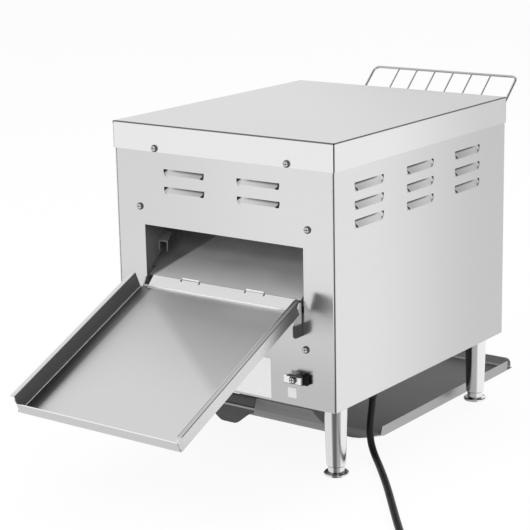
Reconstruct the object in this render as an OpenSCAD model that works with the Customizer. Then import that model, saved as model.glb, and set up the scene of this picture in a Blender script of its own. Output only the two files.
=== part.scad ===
// Countertop conveyor toaster: bread slides down the wire feed rack onto a wire belt, passes between
// quartz tubes, drops off the belt's end and leaves by the rear tray or by the long tray underneath.
// X runs across the machine, Y from the front (-Y) to the rear (+Y), Z up from the counter.

/* [Casing] */
// Width of the lid across the machine
lid_w = 370; // [366:1:376]
// Depth of the lid from front to rear
lid_d = 450; // [446:1:456]
// Height of the lid's top above the counter
lid_top = 460; // [456:1:470]
// Height of the lid's turned-down rim
lid_rim = 38; // [30:1:42]
// How far the lid stands out past the casing on each side
lid_overhang = 1.5; // [1.3:0.1:2]
// Height of the casing's lower edge above the counter
leg_h = 100; // [98:1:102]
// Thickness of the casing's sheet steel
sheet = 1; // [0.8:0.1:1]

/* [Openings] */
// Width of the infeed and discharge openings
mouth_w = 268; // [260:1:268]
// Lower edge of the rear discharge opening
rear_sill = 230; // [226:1:230]
// Upper edge of the rear discharge opening
rear_head = 318; // [312:1:322]
// Lower edge of the front infeed opening
front_sill = 334; // [330:1:335]
// Upper edge of the front infeed opening
front_head = 402; // [396:1:406]

/* [Conveyor] */
// Distance between the belt's strands
belt_pitch = 13; // [12.8:0.1:13]
// Number of belt pitches between the two shafts
belt_run = 21; // [20:1:21]
// Place of the front shaft, front to rear
drive_y = -175; // [-176:1:-174]
// Height of both belt shafts
belt_z = 318; // [317:1:319]
// Width of the belt
belt_w = 248; // [244:1:250]
// Diameter of the quartz heating tubes
tube_d = 10; // [8:1:10]

/* [Trays] */
// Outer width of the rear tray's floor
tray_w = 272; // [268:1:272]
// Length of the rear tray's floor along its slope
tray_len = 273.4; // [260:0.1:280]
// Angle of the rear tray below the horizontal
tray_slope = 24.4; // [22:0.1:26]
// Height of the rear tray's side walls
tray_wall = 24; // [18:1:26]
// Width of the long tray under the machine
catch_w = 262; // [250:1:264]

/* [Legs] */
// Distance from the middle to each leg, side to side
leg_x = 158.5; // [156:0.5:160]
// Distance from the middle to each leg, front to rear
leg_y = 188; // [180:1:190]
// Diameter of a leg at its top
leg_d = 32; // [30:1:32]
// Diameter of a foot
foot_d = 34; // [30:1:36]

/* [Cord] */
// Diameter of the power cord
cord_d = 10; // [8:1:10]

/* [Hidden] */
$fn = 48;

// Casing, from the lid's outside inwards
body_w = lid_w - 2 * lid_overhang;
body_d = lid_d - 2 * lid_overhang;
side_x = body_w / 2;
end_y = body_d / 2;
bend_r = 1.6;
panel_gap = 0.9;
wall_top = lid_top - sheet;
fold = 12;
screw_r = 2;
screw_hole_r = 2.15;
lid_screw_x = 111;
lid_screw_z = lid_top - 33;
high_screw = [141.5, 343];
low_screw = [136.5, 180.5];

// Inner frames
frame_x = 136;
frame_y = end_y - sheet - 0.1;
frame_bottom = leg_h + 2 * sheet;
frame_top = 440;

// Louvres
louvre_l = 70;
louvre_h = 12;
louvre_r = 10;
louvre_depth = 3.4;
louvre_rise = 6;

// Belt and its sprockets
belt_teeth = 12;
belt_r = belt_pitch / (2 * sin(180 / belt_teeth));
idler_y = drive_y + belt_run * belt_pitch;
wire = 1.6;
wave_h = belt_pitch / 2 + 0.1;
wave_rise = 1.1;
wave_n = 10;
shaft_r = 5;
bearing_r = 8;
run_gap = 0.05;

// Chain drive beside the left frame
chain_pitch = 9.525;
chain_teeth = 12;
chain_run = 14;
chain_r = chain_pitch / (2 * sin(180 / chain_teeth));
chain_x = 155;
chain_tilt = -70;
motor_y = drive_y + chain_run * chain_pitch * cos(chain_tilt);
motor_z = belt_z + chain_run * chain_pitch * sin(chain_tilt);
roller_r = 2.5;
pin_r = 1.6;
motor_shaft_r = 4;

// Heating tubes
upper_tube_z = 405;
upper_tube_y = [-140, -50, 40];
lower_tube_y = [-115, -38.5, 38];
tube_hole_r = tube_d / 2 + 1;
cap_r = 8;

// Rear tray, drawn from the lower end of its ramp
tray_top = [237, 232.5];
hook_x = 131;

// Legs and the bonding terminal on the rear wall
foot_stem_r = 11.5;
leg_bottom = 13;
earth_x = -121.5;
earth_z = 139;

// Feed rack
rack_w = 259;
rack_slope = 42;
rack_top = [-361, 468.5];
rack_wire = 4;
rack_rod = 2.6;

// Front controls
control_z = 190;
knob_x = 72;
lamp_x = 18;
spindle_r = 3;

// Cooling fan in the base
fan_at = [-70, -140];
fan_size = 80;
vent_r = 34;

// Cord route: down from the gland, round onto the counter, and away in one line to the coil
gland_at = [-152, 88];
gland_low = leg_h - 21;
coil_at = [-352, 434];
coil_mid_r = 60;
cord_route = [
    [-152, 88, 79], [-152, 88, 72], [-153, 90, 62], [-155, 94, 52], [-157, 98, 42], [-160, 102, 29],
    [-165, 108, 18], [-174, 119, 8], [-186, 133, 5], [-202, 152, 5], [-219, 173, 5], [-236, 193, 5],
    [-253, 213, 5], [-270, 234, 5], [-287, 254, 5], [-304, 275, 5], [-320, 294, 5], [-336, 313, 5],
    [-353, 333, 5], [-369, 353, 5], [-386, 373, 5], [-402, 392, 5]
];

// ---- shared shapes ----

// Rectangle w by h from the origin whose two corners at x = 0 are rounded by r
module bent_edge(w, h, r) {
    translate([r, 0]) square([w - r, h]);
    translate([0, r]) square([r, h - 2 * r]);
    translate([r, r]) circle(r);
    translate([r, h - r]) circle(r);
}

// Channel section: a web of height h at x = 0 with both edges folded towards +x
module channel_section(w, h, t, r) {
    difference() {
        bent_edge(w, h, r);
        translate([t, t]) bent_edge(w, h - 2 * t, r - t);
    }
}

// Outline of one louvre, drawn in by an amount all round: straight above, round at its lower corners
module louvre_outline(inset) {
    half = louvre_l / 2 - inset;
    high = louvre_h / 2 - inset;
    r = louvre_r - inset;
    intersection() {
        translate([-half, -high]) square([2 * half, 2 * high]);
        union() {
            translate([-half + r, -high]) square([2 * half - 2 * r, 2 * high]);
            translate([-half, r - high]) square([2 * half, 2 * high - r]);
            for (s = [-1, 1]) translate([s * (half - r), r - high]) circle(r);
        }
    }
}

// Opening of one louvre, cut through a wall that lies in the XY plane
module louvre_cut() {
    translate([0, 0, -2]) linear_extrude(4) louvre_outline(-0.6 * sheet);
}

// Form of a pressed-in louvre from its deepest level up to a level over the wall's face: deepest along its
// straight upper edge, rising to its lower edge and to both ends, which start at a given level
module louvre_form(inset, depth, edge, over) {
    half = louvre_l / 2 - inset;
    high = louvre_h / 2 - inset;
    floor_end = half - louvre_rise;
    intersection() {
        translate([0, 0, -8]) linear_extrude(10) louvre_outline(inset);
        translate([-half, 0, 0]) rotate([90, 0, 90]) linear_extrude(2 * half) polygon([
            [high, over], [high, -depth], [high - 2.5, -depth], [high - 6, -0.7 * depth - 0.3 * edge],
            [-high, -edge], [-high, over]
        ]);
        translate([0, high, 0]) rotate([90, 0, 0]) linear_extrude(2 * high) polygon([
            [-half, over], [-half, -edge], [-floor_end, -depth], [floor_end, -depth], [half, -edge], [half, over]
        ]);
    }
}

// Sheet of one louvre, slit behind its upper edge
module louvre_shell() {
    t = sheet * 0.9;
    difference() {
        louvre_form(-t, louvre_depth + t, t, 0);
        louvre_form(0, louvre_depth, 0, 1);
        translate([louvre_rise - louvre_l / 2, louvre_h / 2 - 0.1, -louvre_depth])
            cube([louvre_l - 2 * louvre_rise, 2, louvre_depth - sheet - 0.1]);
    }
}

// Children placed at each louvre of a wall: columns across and rows up
module louvre_grid(columns, rows) {
    for (u = columns, v = rows) translate([u, v, 0]) children();
}

// Stadium plate between two points on the x axis with a hole at each end
module link_plate(length, plate_r, hole_r) {
    difference() {
        union() {
            translate([0, -plate_r]) square([length, 2 * plate_r]);
            circle(plate_r);
            translate([length, 0]) circle(plate_r);
        }
        circle(hole_r);
        translate([length, 0]) circle(hole_r);
    }
}

// Pan-head screw on the XY plane, its head up and its shank down
module pan_screw(shank) {
    difference() {
        rotate_extrude() polygon([
            [0, -shank], [screw_r, -shank], [screw_r, 0], [5.1, 0], [5.1, 1], [4.5, 2.2], [3, 2.9], [0, 3.1]
        ]);
        for (a = [0, 90]) rotate(a) translate([-3, -0.55, 1.4]) cube([6, 1.1, 2]);
    }
}

// Places of the screws on the rear wall, as [x, z]
function rear_screws() = [for (s = [-1, 1]) each [
    [s * high_screw.x, high_screw.y], [s * low_screw.x, low_screw.y]
]];

// ---- casing ----

// Section of the lid across its span: both upper corners bent
module lid_profile(span) {
    translate([-span / 2, lid_top]) rotate(-90) bent_edge(lid_rim, span, 2);
}

module lid() {
    inner_w = lid_w - 2 * sheet;
    inner_d = lid_d - 2 * sheet;
    color("gainsboro") difference() {
        intersection() {
            translate([0, lid_d / 2, 0]) rotate([90, 0, 0]) linear_extrude(lid_d) lid_profile(lid_w);
            translate([-lid_w / 2, 0, 0]) rotate([90, 0, 90]) linear_extrude(lid_w) lid_profile(lid_d);
        }
        translate([-inner_w / 2, -inner_d / 2, lid_top - lid_rim - 1])
            cube([inner_w, inner_d, lid_rim + 1 - sheet]);
        for (sx = [-1, 1], sy = [-1, 1])
            translate([sx * lid_w / 2, sy * lid_d / 2, lid_top - lid_rim - 1]) rotate(sx * sy * 45)
                translate([-4, -0.6, 0]) cube([8, 1.2, lid_rim - 3]);
        for (s = [-1, 1]) translate([s * lid_screw_x, 0, lid_screw_z]) rotate([90, 0, 0])
            cylinder(r = screw_hole_r, h = lid_d + 2, center = true);
    }
}

// A front or rear wall: a sheet with its upright edges folded in, its outer face at y = end_y
module end_wall() {
    w = body_w - 2 * sheet - 2 * panel_gap;
    difference() {
        translate([-w / 2, end_y, leg_h]) rotate([0, 0, -90]) linear_extrude(wall_top - leg_h)
            channel_section(fold, w, sheet, bend_r);
        for (z = [leg_h - 1, wall_top - 2.5])
            translate([-w / 2 - 1, end_y - fold - 1, z]) cube([w + 2, fold - 1.5, 3.5]);
        for (s = [-1, 1]) translate([s * lid_screw_x, end_y, lid_screw_z]) rotate([90, 0, 0])
            cylinder(r = screw_hole_r, h = 6, center = true);
    }
}

module rear_panel() {
    columns = [-62.5, 62.5];
    rows = [369, 393.5];
    color("gainsboro") {
        difference() {
            end_wall();
            translate([-mouth_w / 2, end_y - 3, rear_sill]) cube([mouth_w, 6, rear_head - rear_sill]);
            translate([0, end_y, 0]) rotate([90, 0, 180]) louvre_grid(columns, rows) louvre_cut();
            for (p = rear_screws()) translate([p.x, end_y, p.y]) rotate([90, 0, 0])
                cylinder(r = screw_hole_r, h = 6, center = true);
            translate([earth_x, end_y, earth_z]) rotate([90, 0, 0])
                cylinder(r = screw_hole_r, h = 6, center = true);
        }
        translate([0, end_y, 0]) rotate([90, 0, 180]) louvre_grid(columns, rows) louvre_shell();
    }
}

module front_panel() {
    color("gainsboro") difference() {
        rotate(180) end_wall();
        translate([-mouth_w / 2, -end_y - 3, front_sill]) cube([mouth_w, 6, front_head - front_sill]);
        for (s = [-1, 1]) translate([s * knob_x, -end_y, control_z]) rotate([90, 0, 0])
            cylinder(r = 5, h = 6, center = true);
        for (s = [-1, 1]) translate([s * lamp_x, -end_y, control_z + 22]) rotate([90, 0, 0])
            cylinder(r = 5, h = 6, center = true);
        for (p = rear_screws()) translate([p.x, -end_y, p.y]) rotate([90, 0, 0])
            cylinder(r = screw_hole_r, h = 6, center = true);
    }
}

// The right wall, at -x; the left wall is its mirror image
module side_wall() {
    columns = [-115, 13, 141];
    rows = [346, 370.6, 395.2];
    difference() {
        translate([-side_x, end_y, leg_h]) rotate([90, 0, 0]) linear_extrude(body_d)
            channel_section(10, wall_top - leg_h, sheet, bend_r);
        for (s = [-1, 1], z = [leg_h - 1, wall_top - 3])
            translate([-side_x + sheet + 0.2, s * (end_y - 7) - 8, z]) cube([20, 16, 5]);
        translate([-side_x, 0, 0]) rotate([90, 0, -90]) louvre_grid(-columns, rows) louvre_cut();
    }
    translate([-side_x, 0, 0]) rotate([90, 0, -90]) louvre_grid(-columns, rows) louvre_shell();
}

module right_panel() {
    color("gainsboro") side_wall();
}

module left_panel() {
    color("gainsboro") mirror([1, 0, 0]) side_wall();
}

// Floor of the casing with turned-up ends, open at the rear for toast that drops to the long tray
module base_plate() {
    w = body_w - 7;
    d = 2 * frame_y;
    color("silver") difference() {
        translate([-w / 2, -d / 2, leg_h + sheet]) cube([w, d, 16]);
        translate([-w / 2 - 1, -d / 2 + sheet, leg_h + 2 * sheet]) cube([w + 2, d - 2 * sheet, 20]);
        translate([-mouth_w / 2, 104, leg_h]) cube([mouth_w, 108, 10]);
        translate([gland_at.x, gland_at.y, leg_h]) cylinder(r = 7, h = 10);
        for (sx = [-1, 1], sy = [-1, 1]) translate([sx * leg_x, sy * leg_y, leg_h]) cylinder(r = 4.2, h = 10);
        for (s = [-30 : 10 : 30]) let (reach = sqrt(vent_r * vent_r - s * s))
            translate([fan_at.x + s - 2.5, fan_at.y - reach, leg_h]) cube([5, 2 * reach, 10]);
        for (s = [-1, 1]) translate([s * (frame_x + fold / 2) - fold / 2 - 1, -d / 2 - 1, leg_h + 2 * sheet])
            cube([fold + 2, d + 2, 20]);
    }
}

// ---- inner frame and heating ----

// The left inner wall at +x: a pan whose rims are folded outwards
module side_frame() {
    d = 2 * frame_y;
    h = frame_top - frame_bottom;
    difference() {
        translate([frame_x, -d / 2, frame_bottom]) cube([fold, d, h]);
        translate([frame_x + sheet, -d / 2 + sheet, frame_bottom + sheet])
            cube([fold, d - 2 * sheet, h - 2 * sheet]);
        for (y = [drive_y, idler_y]) translate([frame_x - 1, y, belt_z]) rotate([0, 90, 0])
            cylinder(r = bearing_r, h = 4);
        for (y = upper_tube_y) translate([frame_x - 1, y, upper_tube_z]) rotate([0, 90, 0])
            cylinder(r = tube_hole_r, h = 4);
        for (y = lower_tube_y) translate([frame_x - 1, y, belt_z]) rotate([0, 90, 0])
            cylinder(r = tube_hole_r, h = 4);
        for (p = rear_screws(), s = [-1, 1]) translate([p.x, s * d / 2, p.y]) rotate([90, 0, 0])
            cylinder(r = screw_hole_r + 0.6, h = 14, center = true);
    }
}

module left_frame() {
    color("darkgray") difference() {
        side_frame();
        translate([frame_x - 1, motor_y, motor_z]) rotate([0, 90, 0]) cylinder(r = 12, h = 4);
    }
}

module right_frame() {
    color("darkgray") difference() {
        mirror([1, 0, 0]) side_frame();
        translate([gland_at.x, gland_at.y, leg_h]) cylinder(r = 11, h = 10);
    }
}

// Sheet spanning between the frames whose outline in YZ is a list of points, t thick downwards
module folded_strip(points, t, half_w) {
    translate([-half_w, 0, 0]) rotate([90, 0, 90]) linear_extrude(2 * half_w)
        polygon(concat(points, [for (i = [len(points) - 1 : -1 : 0]) points[i] - [0, t]]));
}

module top_reflector() {
    half_w = frame_x;
    color("silver") folded_strip(
        [[-205, 404], [-190, 422], [85, 422], [120, 400]], sheet, half_w
    );
}

module lower_reflector() {
    half_w = frame_x;
    color("silver") folded_strip(
        [[-140, 306], [-132, 303], [54, 303], [62, 306]], sheet, half_w
    );
}

// Floor of the hot chamber, turned down behind the motor as the front wall of the drop chute
module heat_shield() {
    half_w = frame_x;
    z = 246;
    color("silver") translate([-half_w, 0, 0]) rotate([90, 0, 90]) linear_extrude(2 * half_w)
        difference() {
            translate([-frame_y + 2, frame_bottom]) square([frame_y + 98, z - frame_bottom]);
            translate([-frame_y + 1, frame_bottom - 1]) square([frame_y + 98, z - frame_bottom]);
        }
}

module quartz_tube(z, y) {
    translate([-frame_x - 10, y, z]) rotate([0, 90, 0]) cylinder(d = tube_d, h = 2 * frame_x + 20);
}

module upper_tubes() {
    color("whitesmoke") for (y = upper_tube_y) quartz_tube(upper_tube_z, y);
}

module lower_tubes() {
    color("whitesmoke") for (y = lower_tube_y) quartz_tube(belt_z, y);
}

// Ceramic cap over one tube end, outside its frame
module tube_cap() {
    difference() {
        union() {
            cylinder(r = cap_r, h = 3);
            cylinder(r = cap_r - 1.5, h = 16);
        }
        translate([0, 0, -1]) cylinder(d = tube_d + 0.1, h = 10);
        translate([-1, -cap_r, 12]) cube([2, 2 * cap_r, 6]);
    }
}

module tube_caps() {
    color("ivory") for (s = [-1, 1]) {
        for (y = upper_tube_y) translate([s * (frame_x + sheet), y, upper_tube_z]) rotate([0, s * 90, 0]) tube_cap();
        for (y = lower_tube_y) translate([s * (frame_x + sheet), y, belt_z]) rotate([0, s * 90, 0]) tube_cap();
    }
}

// Slide that turns falling toast out through the rear opening, held by flanges on both frames
module discharge_plate() {
    low = [end_y - 0.6, 247.6];
    high = [140, 303.6];
    half_w = frame_x - 0.6;
    color("darkgray") difference() {
        union() {
            folded_strip([high - [6, -1], high, low], sheet, half_w);
            for (s = [-1, 1]) translate([s * (frame_x - 1.1) - 1, 0, 0]) rotate([90, 0, 90]) linear_extrude(2)
                polygon([high - [0, sheet / 2], low - [14, -8.9], low - [14, 3], high - [0, 12]]);
        }
        for (s = [-1, 1]) translate([s * 134 - 5, low.x - 14, 230]) cube([10, 20, 40]);
    }
}

// Folded clip for the end baffle, one on each inner wall: a flange and a free side under a sloping top
module wall_brackets() {
    reach = 15;
    side = [[180, 300], [192, 289], [192.5, 274.5], [181, 279]];
    color("dimgray") for (s = [0, 1]) mirror([s, 0, 0]) translate([frame_x, 0, 0]) rotate([90, 0, 90]) {
        for (x = [-reach, -1.2]) translate([0, 0, x]) linear_extrude(1.2) polygon(side);
        translate([0, 0, -reach]) linear_extrude(reach)
            polygon([side[0], side[0] - [0, 1.6], side[1] - [0, 1.6], side[1]]);
    }
}

// ---- conveyor ----

// Flanged bush with its bore along z, the flange under z = 0
module flanged_bush() {
    rotate_extrude() polygon([
        [shaft_r + run_gap, -3], [bearing_r + 4, -3], [bearing_r + 4, 0], [bearing_r, 0],
        [bearing_r, 5], [shaft_r + run_gap, 5]
    ]);
}

module shaft_bearings() {
    color("peru") for (s = [-1, 1], y = [drive_y, idler_y])
        translate([s * (frame_x + sheet), y, belt_z]) rotate([0, -s * 90, 0]) flanged_bush();
}

// Shaft along x with a shoulder inside each bearing
module belt_shaft(left_end) {
    rotate([0, 90, 0]) {
        translate([0, 0, -frame_x - 9]) cylinder(r = shaft_r, h = frame_x + 9 + left_end);
        for (s = [-1, 1]) translate([0, 0, s * (frame_x - 7) - 1.5]) cylinder(r = shaft_r + 2.5, h = 3);
    }
}

module drive_shaft() {
    color("lightsteelblue") translate([0, drive_y, belt_z]) belt_shaft(chain_x + 7);
}

module idler_shaft() {
    color("lightsteelblue") translate([0, idler_y, belt_z]) belt_shaft(frame_x + 9);
}

// One belt sprocket: teeth stand up between the strands' lower bars
module belt_sprocket() {
    bar_r = norm([wave_h, belt_r - wave_rise]);
    bar_a = atan(wave_h / (belt_r - wave_rise));
    rotate([90, 0, 90]) translate([0, 0, -3]) difference() {
        union() {
            linear_extrude(6) difference() {
                circle(belt_r + 1.6);
                for (i = [0 : belt_teeth - 1]) rotate(90 + bar_a + i * 360 / belt_teeth)
                    translate([bar_r - 1.8, -1.9]) square([8, 3.8]);
            }
            translate([0, 0, -5]) cylinder(r = shaft_r + 5, h = 16);
        }
        translate([0, 0, -6]) cylinder(r = shaft_r, h = 20);
    }
}

// Three sprockets on one shaft, each under a row of the strands' lower bars
module sprocket_set() {
    step = belt_w / wave_n;
    for (k = [0, 4, 8]) translate([-belt_w / 2 + (k + 0.5) * step, 0, 0]) belt_sprocket();
}

module drive_sprockets() {
    color("silver") translate([0, drive_y, belt_z]) sprocket_set();
}

module idler_sprockets() {
    color("silver") translate([0, idler_y, belt_z]) sprocket_set();
}

// Centre line of one strand: a square wave across the belt
function wave_point(i) = [
    -belt_w / 2 + floor((i + 1) / 2) * belt_w / wave_n,
    (floor(i / 2) % 2 == 0 ? -1 : 1) * wave_h
];
wave = [for (i = [0 : 2 * wave_n - 1]) wave_point(i)];

// Unit normal of the wave's stretch after point i, nothing past its ends
function wave_normal(i) = i < 0 || i > len(wave) - 2 ? [0, 0] :
    let (d = (wave[i + 1] - wave[i]) / norm(wave[i + 1] - wave[i])) [-d.y, d.x];
function wave_side(i, s) = wave[i] + s * wire / 2 * (wave_normal(i - 1) + wave_normal(i));

// One strand of bent wire, tilted so that its far bars lie over the next strand's near bars
module strand() {
    rotate([atan(wave_rise / wave_h), 0, 0]) translate([0, 0, -wire / 2]) linear_extrude(wire)
        polygon(concat(
            [for (i = [0 : len(wave) - 1]) wave_side(i, 1)],
            [for (i = [len(wave) - 1 : -1 : 0]) wave_side(i, -1)]
        ));
}

module conveyor_belt() {
    turn = 360 / belt_teeth;
    color("silver") translate([0, drive_y, belt_z]) {
        for (i = [0 : belt_run]) {
            translate([0, i * belt_pitch, belt_r]) strand();
            translate([0, i * belt_pitch, -belt_r]) rotate([180, 0, 0]) strand();
        }
        for (i = [1 : belt_teeth / 2 - 1]) {
            rotate([i * turn, 0, 0]) translate([0, 0, belt_r]) strand();
            translate([0, belt_run * belt_pitch, 0]) rotate([-i * turn, 0, 0]) translate([0, 0, belt_r]) strand();
        }
    }
}

// ---- drive ----

// Toothed wheel for the chain, its axis along x, with a hub on its inner side. The gaps between its
// teeth widen outwards, so that a roller which comes in along a tangent clears them
module chain_sprocket(bore_r) {
    seat_r = roller_r + 0.2;
    rotate([90, 0, 90]) translate([0, 0, -2.5]) difference() {
        union() {
            linear_extrude(5) difference() {
                circle(chain_r + 2);
                for (i = [0 : chain_teeth - 1]) rotate(i * 360 / chain_teeth) translate([chain_r, 0]) {
                    circle(seat_r);
                    polygon([[0, -seat_r], [4, -seat_r - 2.4], [4, seat_r + 2.4], [0, seat_r]]);
                }
            }
            translate([0, 0, -4]) cylinder(r = bore_r + 5, h = 5);
        }
        translate([0, 0, -5]) cylinder(r = bore_r, h = 12);
    }
}

module chain_wheel() {
    color("gray") translate([chain_x, drive_y, belt_z]) rotate([chain_tilt, 0, 0]) chain_sprocket(shaft_r);
}

module motor_pinion() {
    color("gray") translate([chain_x, motor_y, motor_z]) rotate([chain_tilt, 0, 0]) chain_sprocket(motor_shaft_r);
}

// Chain pins in order, as [place along the run, place across it, direction of the next link]
function chain_pins() = [
    for (i = [0 : chain_run - 1]) [i * chain_pitch, chain_r, 0],
    for (i = [0 : chain_teeth / 2 - 1]) let (a = 90 - i * 360 / chain_teeth)
        [chain_run * chain_pitch + chain_r * cos(a), chain_r * sin(a), a - 90 - 180 / chain_teeth],
    for (i = [0 : chain_run - 1]) [(chain_run - i) * chain_pitch, -chain_r, 180],
    for (i = [0 : chain_teeth / 2 - 1]) let (a = 270 - i * 360 / chain_teeth)
        [chain_r * cos(a), chain_r * sin(a), a - 90 - 180 / chain_teeth]
];

module drive_chain() {
    pins = chain_pins();
    color("dimgray") translate([chain_x, drive_y, belt_z]) rotate([chain_tilt, 0, 0]) rotate([90, 0, 90])
        for (i = [0 : len(pins) - 1]) translate([pins[i].x, pins[i].y, 0]) {
            cylinder(r = pin_r, h = 11, center = true);
            difference() {
                cylinder(r = roller_r, h = 5.6, center = true);
                cylinder(r = pin_r, h = 8, center = true);
            }
            for (s = [-1, 1]) rotate(pins[i].z) translate([0, 0, s * (i % 2 == 0 ? 3.5 : 4.6) - 0.5])
                linear_extrude(1) link_plate(chain_pitch, 4, pin_r + 0.02);
        }
}

module gear_motor() {
    box = 62;
    color("dimgray") translate([0, motor_y, motor_z]) rotate([0, 90, 0]) {
        difference() {
            union() {
                translate([-box / 2, -box / 2, frame_x - 34]) cube([box, box, 34]);
                translate([0, 0, frame_x]) cylinder(r = 11.5, h = 3);
                translate([0, 0, frame_x - 94]) cylinder(r = 29, h = 60);
                translate([0, 0, frame_x - 98]) cylinder(r = 12, h = 4);
            }
            translate([0, 0, frame_x - 26]) cylinder(r = motor_shaft_r + run_gap, h = 40);
            for (sx = [-1, 1], sy = [-1, 1]) translate([sx * 27, sy * 27, frame_x - 40]) cylinder(r = 2, h = 50);
        }
    }
}

module motor_shaft() {
    color("lightsteelblue") translate([frame_x - 25, motor_y, motor_z]) rotate([0, 90, 0])
        cylinder(r = motor_shaft_r, h = chain_x + 4 - frame_x + 25);
}

// ---- electrics ----

module fan_frame() {
    color("black") translate([fan_at.x, fan_at.y, frame_bottom]) difference() {
        union() {
            difference() {
                translate([-fan_size / 2, -fan_size / 2, 0]) cube([fan_size, fan_size, 25]);
                translate([0, 0, -1]) cylinder(r = fan_size / 2 - 2, h = 30);
            }
            cylinder(r = 15, h = 3);
            for (a = [45, 165, 285]) rotate(a) translate([10, -2, 0]) cube([fan_size / 2 - 11, 4, 3]);
            translate([0, 0, 3]) cylinder(r = 2, h = 14);
        }
        for (sx = [-1, 1], sy = [-1, 1]) translate([sx * 35.7, sy * 35.7, -1]) cylinder(r = 2.2, h = 30);
    }
}

module fan_rotor() {
    blades = 7;
    color("darkslategray") translate([fan_at.x, fan_at.y, frame_bottom]) difference() {
        union() {
            translate([0, 0, 4]) cylinder(r = 15, h = 18);
            intersection() {
                difference() {
                    translate([0, 0, 4]) cylinder(r = fan_size / 2 - 3.5, h = 18);
                    translate([0, 0, 3]) cylinder(r = 14, h = 20);
                }
                for (i = [0 : blades - 1]) rotate(i * 360 / blades) translate([0, 0, 13]) rotate([52, 0, 0])
                    translate([10, -0.8, -16]) cube([fan_size / 2, 1.6, 32]);
            }
        }
        translate([0, 0, 3]) cylinder(r = 2 + run_gap, h = 15);
    }
}

module speed_controller() {
    at = [-frame_x - sheet, -150, 150];
    color("seagreen") translate(at) {
        for (y = [5, 75], z = [5, 55]) translate([-8, y, z]) rotate([0, 90, 0]) cylinder(r = 3, h = 8);
        difference() {
            translate([-9.6, 0, 0]) cube([1.6, 80, 60]);
            translate([-12, 70, 20]) cube([6, 12, 20]);
        }
        translate([-22.6, 12, 12]) cube([13, 18, 22]);
        translate([-18.6, 36, 34]) cube([9, 30, 16]);
        for (y = [40, 54]) translate([-27.6, y, 18]) rotate([0, 90, 0]) cylinder(r = 6, h = 18);
    }
}

module terminal_block() {
    at = [gland_at.x - 11, 20];
    poles = 5;
    color("ivory") translate([at.x, at.y, frame_bottom]) difference() {
        translate([-10, 0, 0]) cube([20, poles * 10, 18]);
        for (i = [0 : poles - 1]) {
            translate([-11, 5 + i * 10, 7]) rotate([0, 90, 0]) cylinder(r = 2.6, h = 22);
            for (s = [-1, 1]) translate([s * 5.5, 5 + i * 10, 8]) cylinder(r = 2.4, h = 12);
        }
        for (i = [1 : poles - 1]) translate([-11, i * 10 - 0.75, 12]) cube([22, 1.5, 7]);
    }
}

// A switch or regulator body behind the front wall, with its threaded collar through it
module control_body(w, h, depth, x) {
    color("dimgray") translate([x, -end_y, control_z]) rotate([-90, 0, 0]) difference() {
        union() {
            translate([-w / 2, -h / 2, sheet]) cube([w, h, depth]);
            translate([0, 0, -3]) cylinder(r = 4.8, h = 6);
        }
        translate([0, 0, -4]) cylinder(r = spindle_r + run_gap, h = 4 + sheet + depth - 4);
    }
}

module speed_regulator() {
    control_body(28, 28, 16, knob_x);
}

module heat_switch() {
    control_body(40, 40, 30, -knob_x);
}

// Spindle of a control, flatted where its knob grips it
module spindle(x, depth) {
    color("silver") translate([x, -end_y, control_z]) rotate([90, 0, 0]) difference() {
        translate([0, 0, -depth]) cylinder(r = spindle_r, h = depth + 18);
        translate([spindle_r - 1.2, -4, 6]) cube([4, 8, 14]);
    }
}

module speed_spindle() {
    spindle(knob_x, 12);
}

module heat_spindle() {
    spindle(-knob_x, 26);
}

// Ribbed knob with a skirt and a raised pointer, drawn with its axis along z
module knob() {
    difference() {
        union() {
            rotate_extrude() polygon([
                [0, 4], [21, 4], [21, 6.5], [17.5, 8.5], [16.2, 22], [14.8, 24], [0, 24]
            ]);
            translate([-1.4, 2, 22]) cube([2.8, 13, 3.4]);
        }
        for (i = [0 : 11]) rotate(15 + i * 30) translate([18.6, 0, 9]) cylinder(r = 2.6, h = 20);
        difference() {
            translate([0, 0, 3]) cylinder(r = spindle_r, h = 16);
            translate([spindle_r - 1.2, -4, 6]) cube([4, 8, 14]);
        }
        translate([0, 0, 3]) difference() {
            cylinder(r = 14, h = 13);
            translate([0, 0, -1]) cylinder(r = 7, h = 16);
        }
    }
}

module speed_knob() {
    color("black") translate([knob_x, -end_y, control_z]) rotate([90, 0, 0]) knob();
}

module heat_knob() {
    color("black") translate([-knob_x, -end_y, control_z]) rotate([90, 0, 0]) knob();
}

// Pilot lamp: a domed lens in a bezel, snapped into a round hole
module lamp(x) {
    translate([x, -end_y, control_z + 22]) rotate([90, 0, 0]) rotate_extrude() polygon([
        [0, -22], [4.6, -22], [4.6, 0], [6.5, 0], [6.5, 1.5], [5, 1.5], [4.8, 3.4], [3.6, 5], [0, 6]
    ]);
}

module power_lamp() {
    color("limegreen") lamp(lamp_x);
}

module heat_lamp() {
    color("orange") lamp(-lamp_x);
}

// ---- feed rack and trays ----

// Round wire between two points of the plane x = constant
module wire_in_plane(x, a, b, d) {
    run = b - a;
    translate([x, a.x, a.y]) rotate([atan2(run.y, run.x) - 90, 0, 0]) cylinder(d = d, h = norm(run));
}

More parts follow.
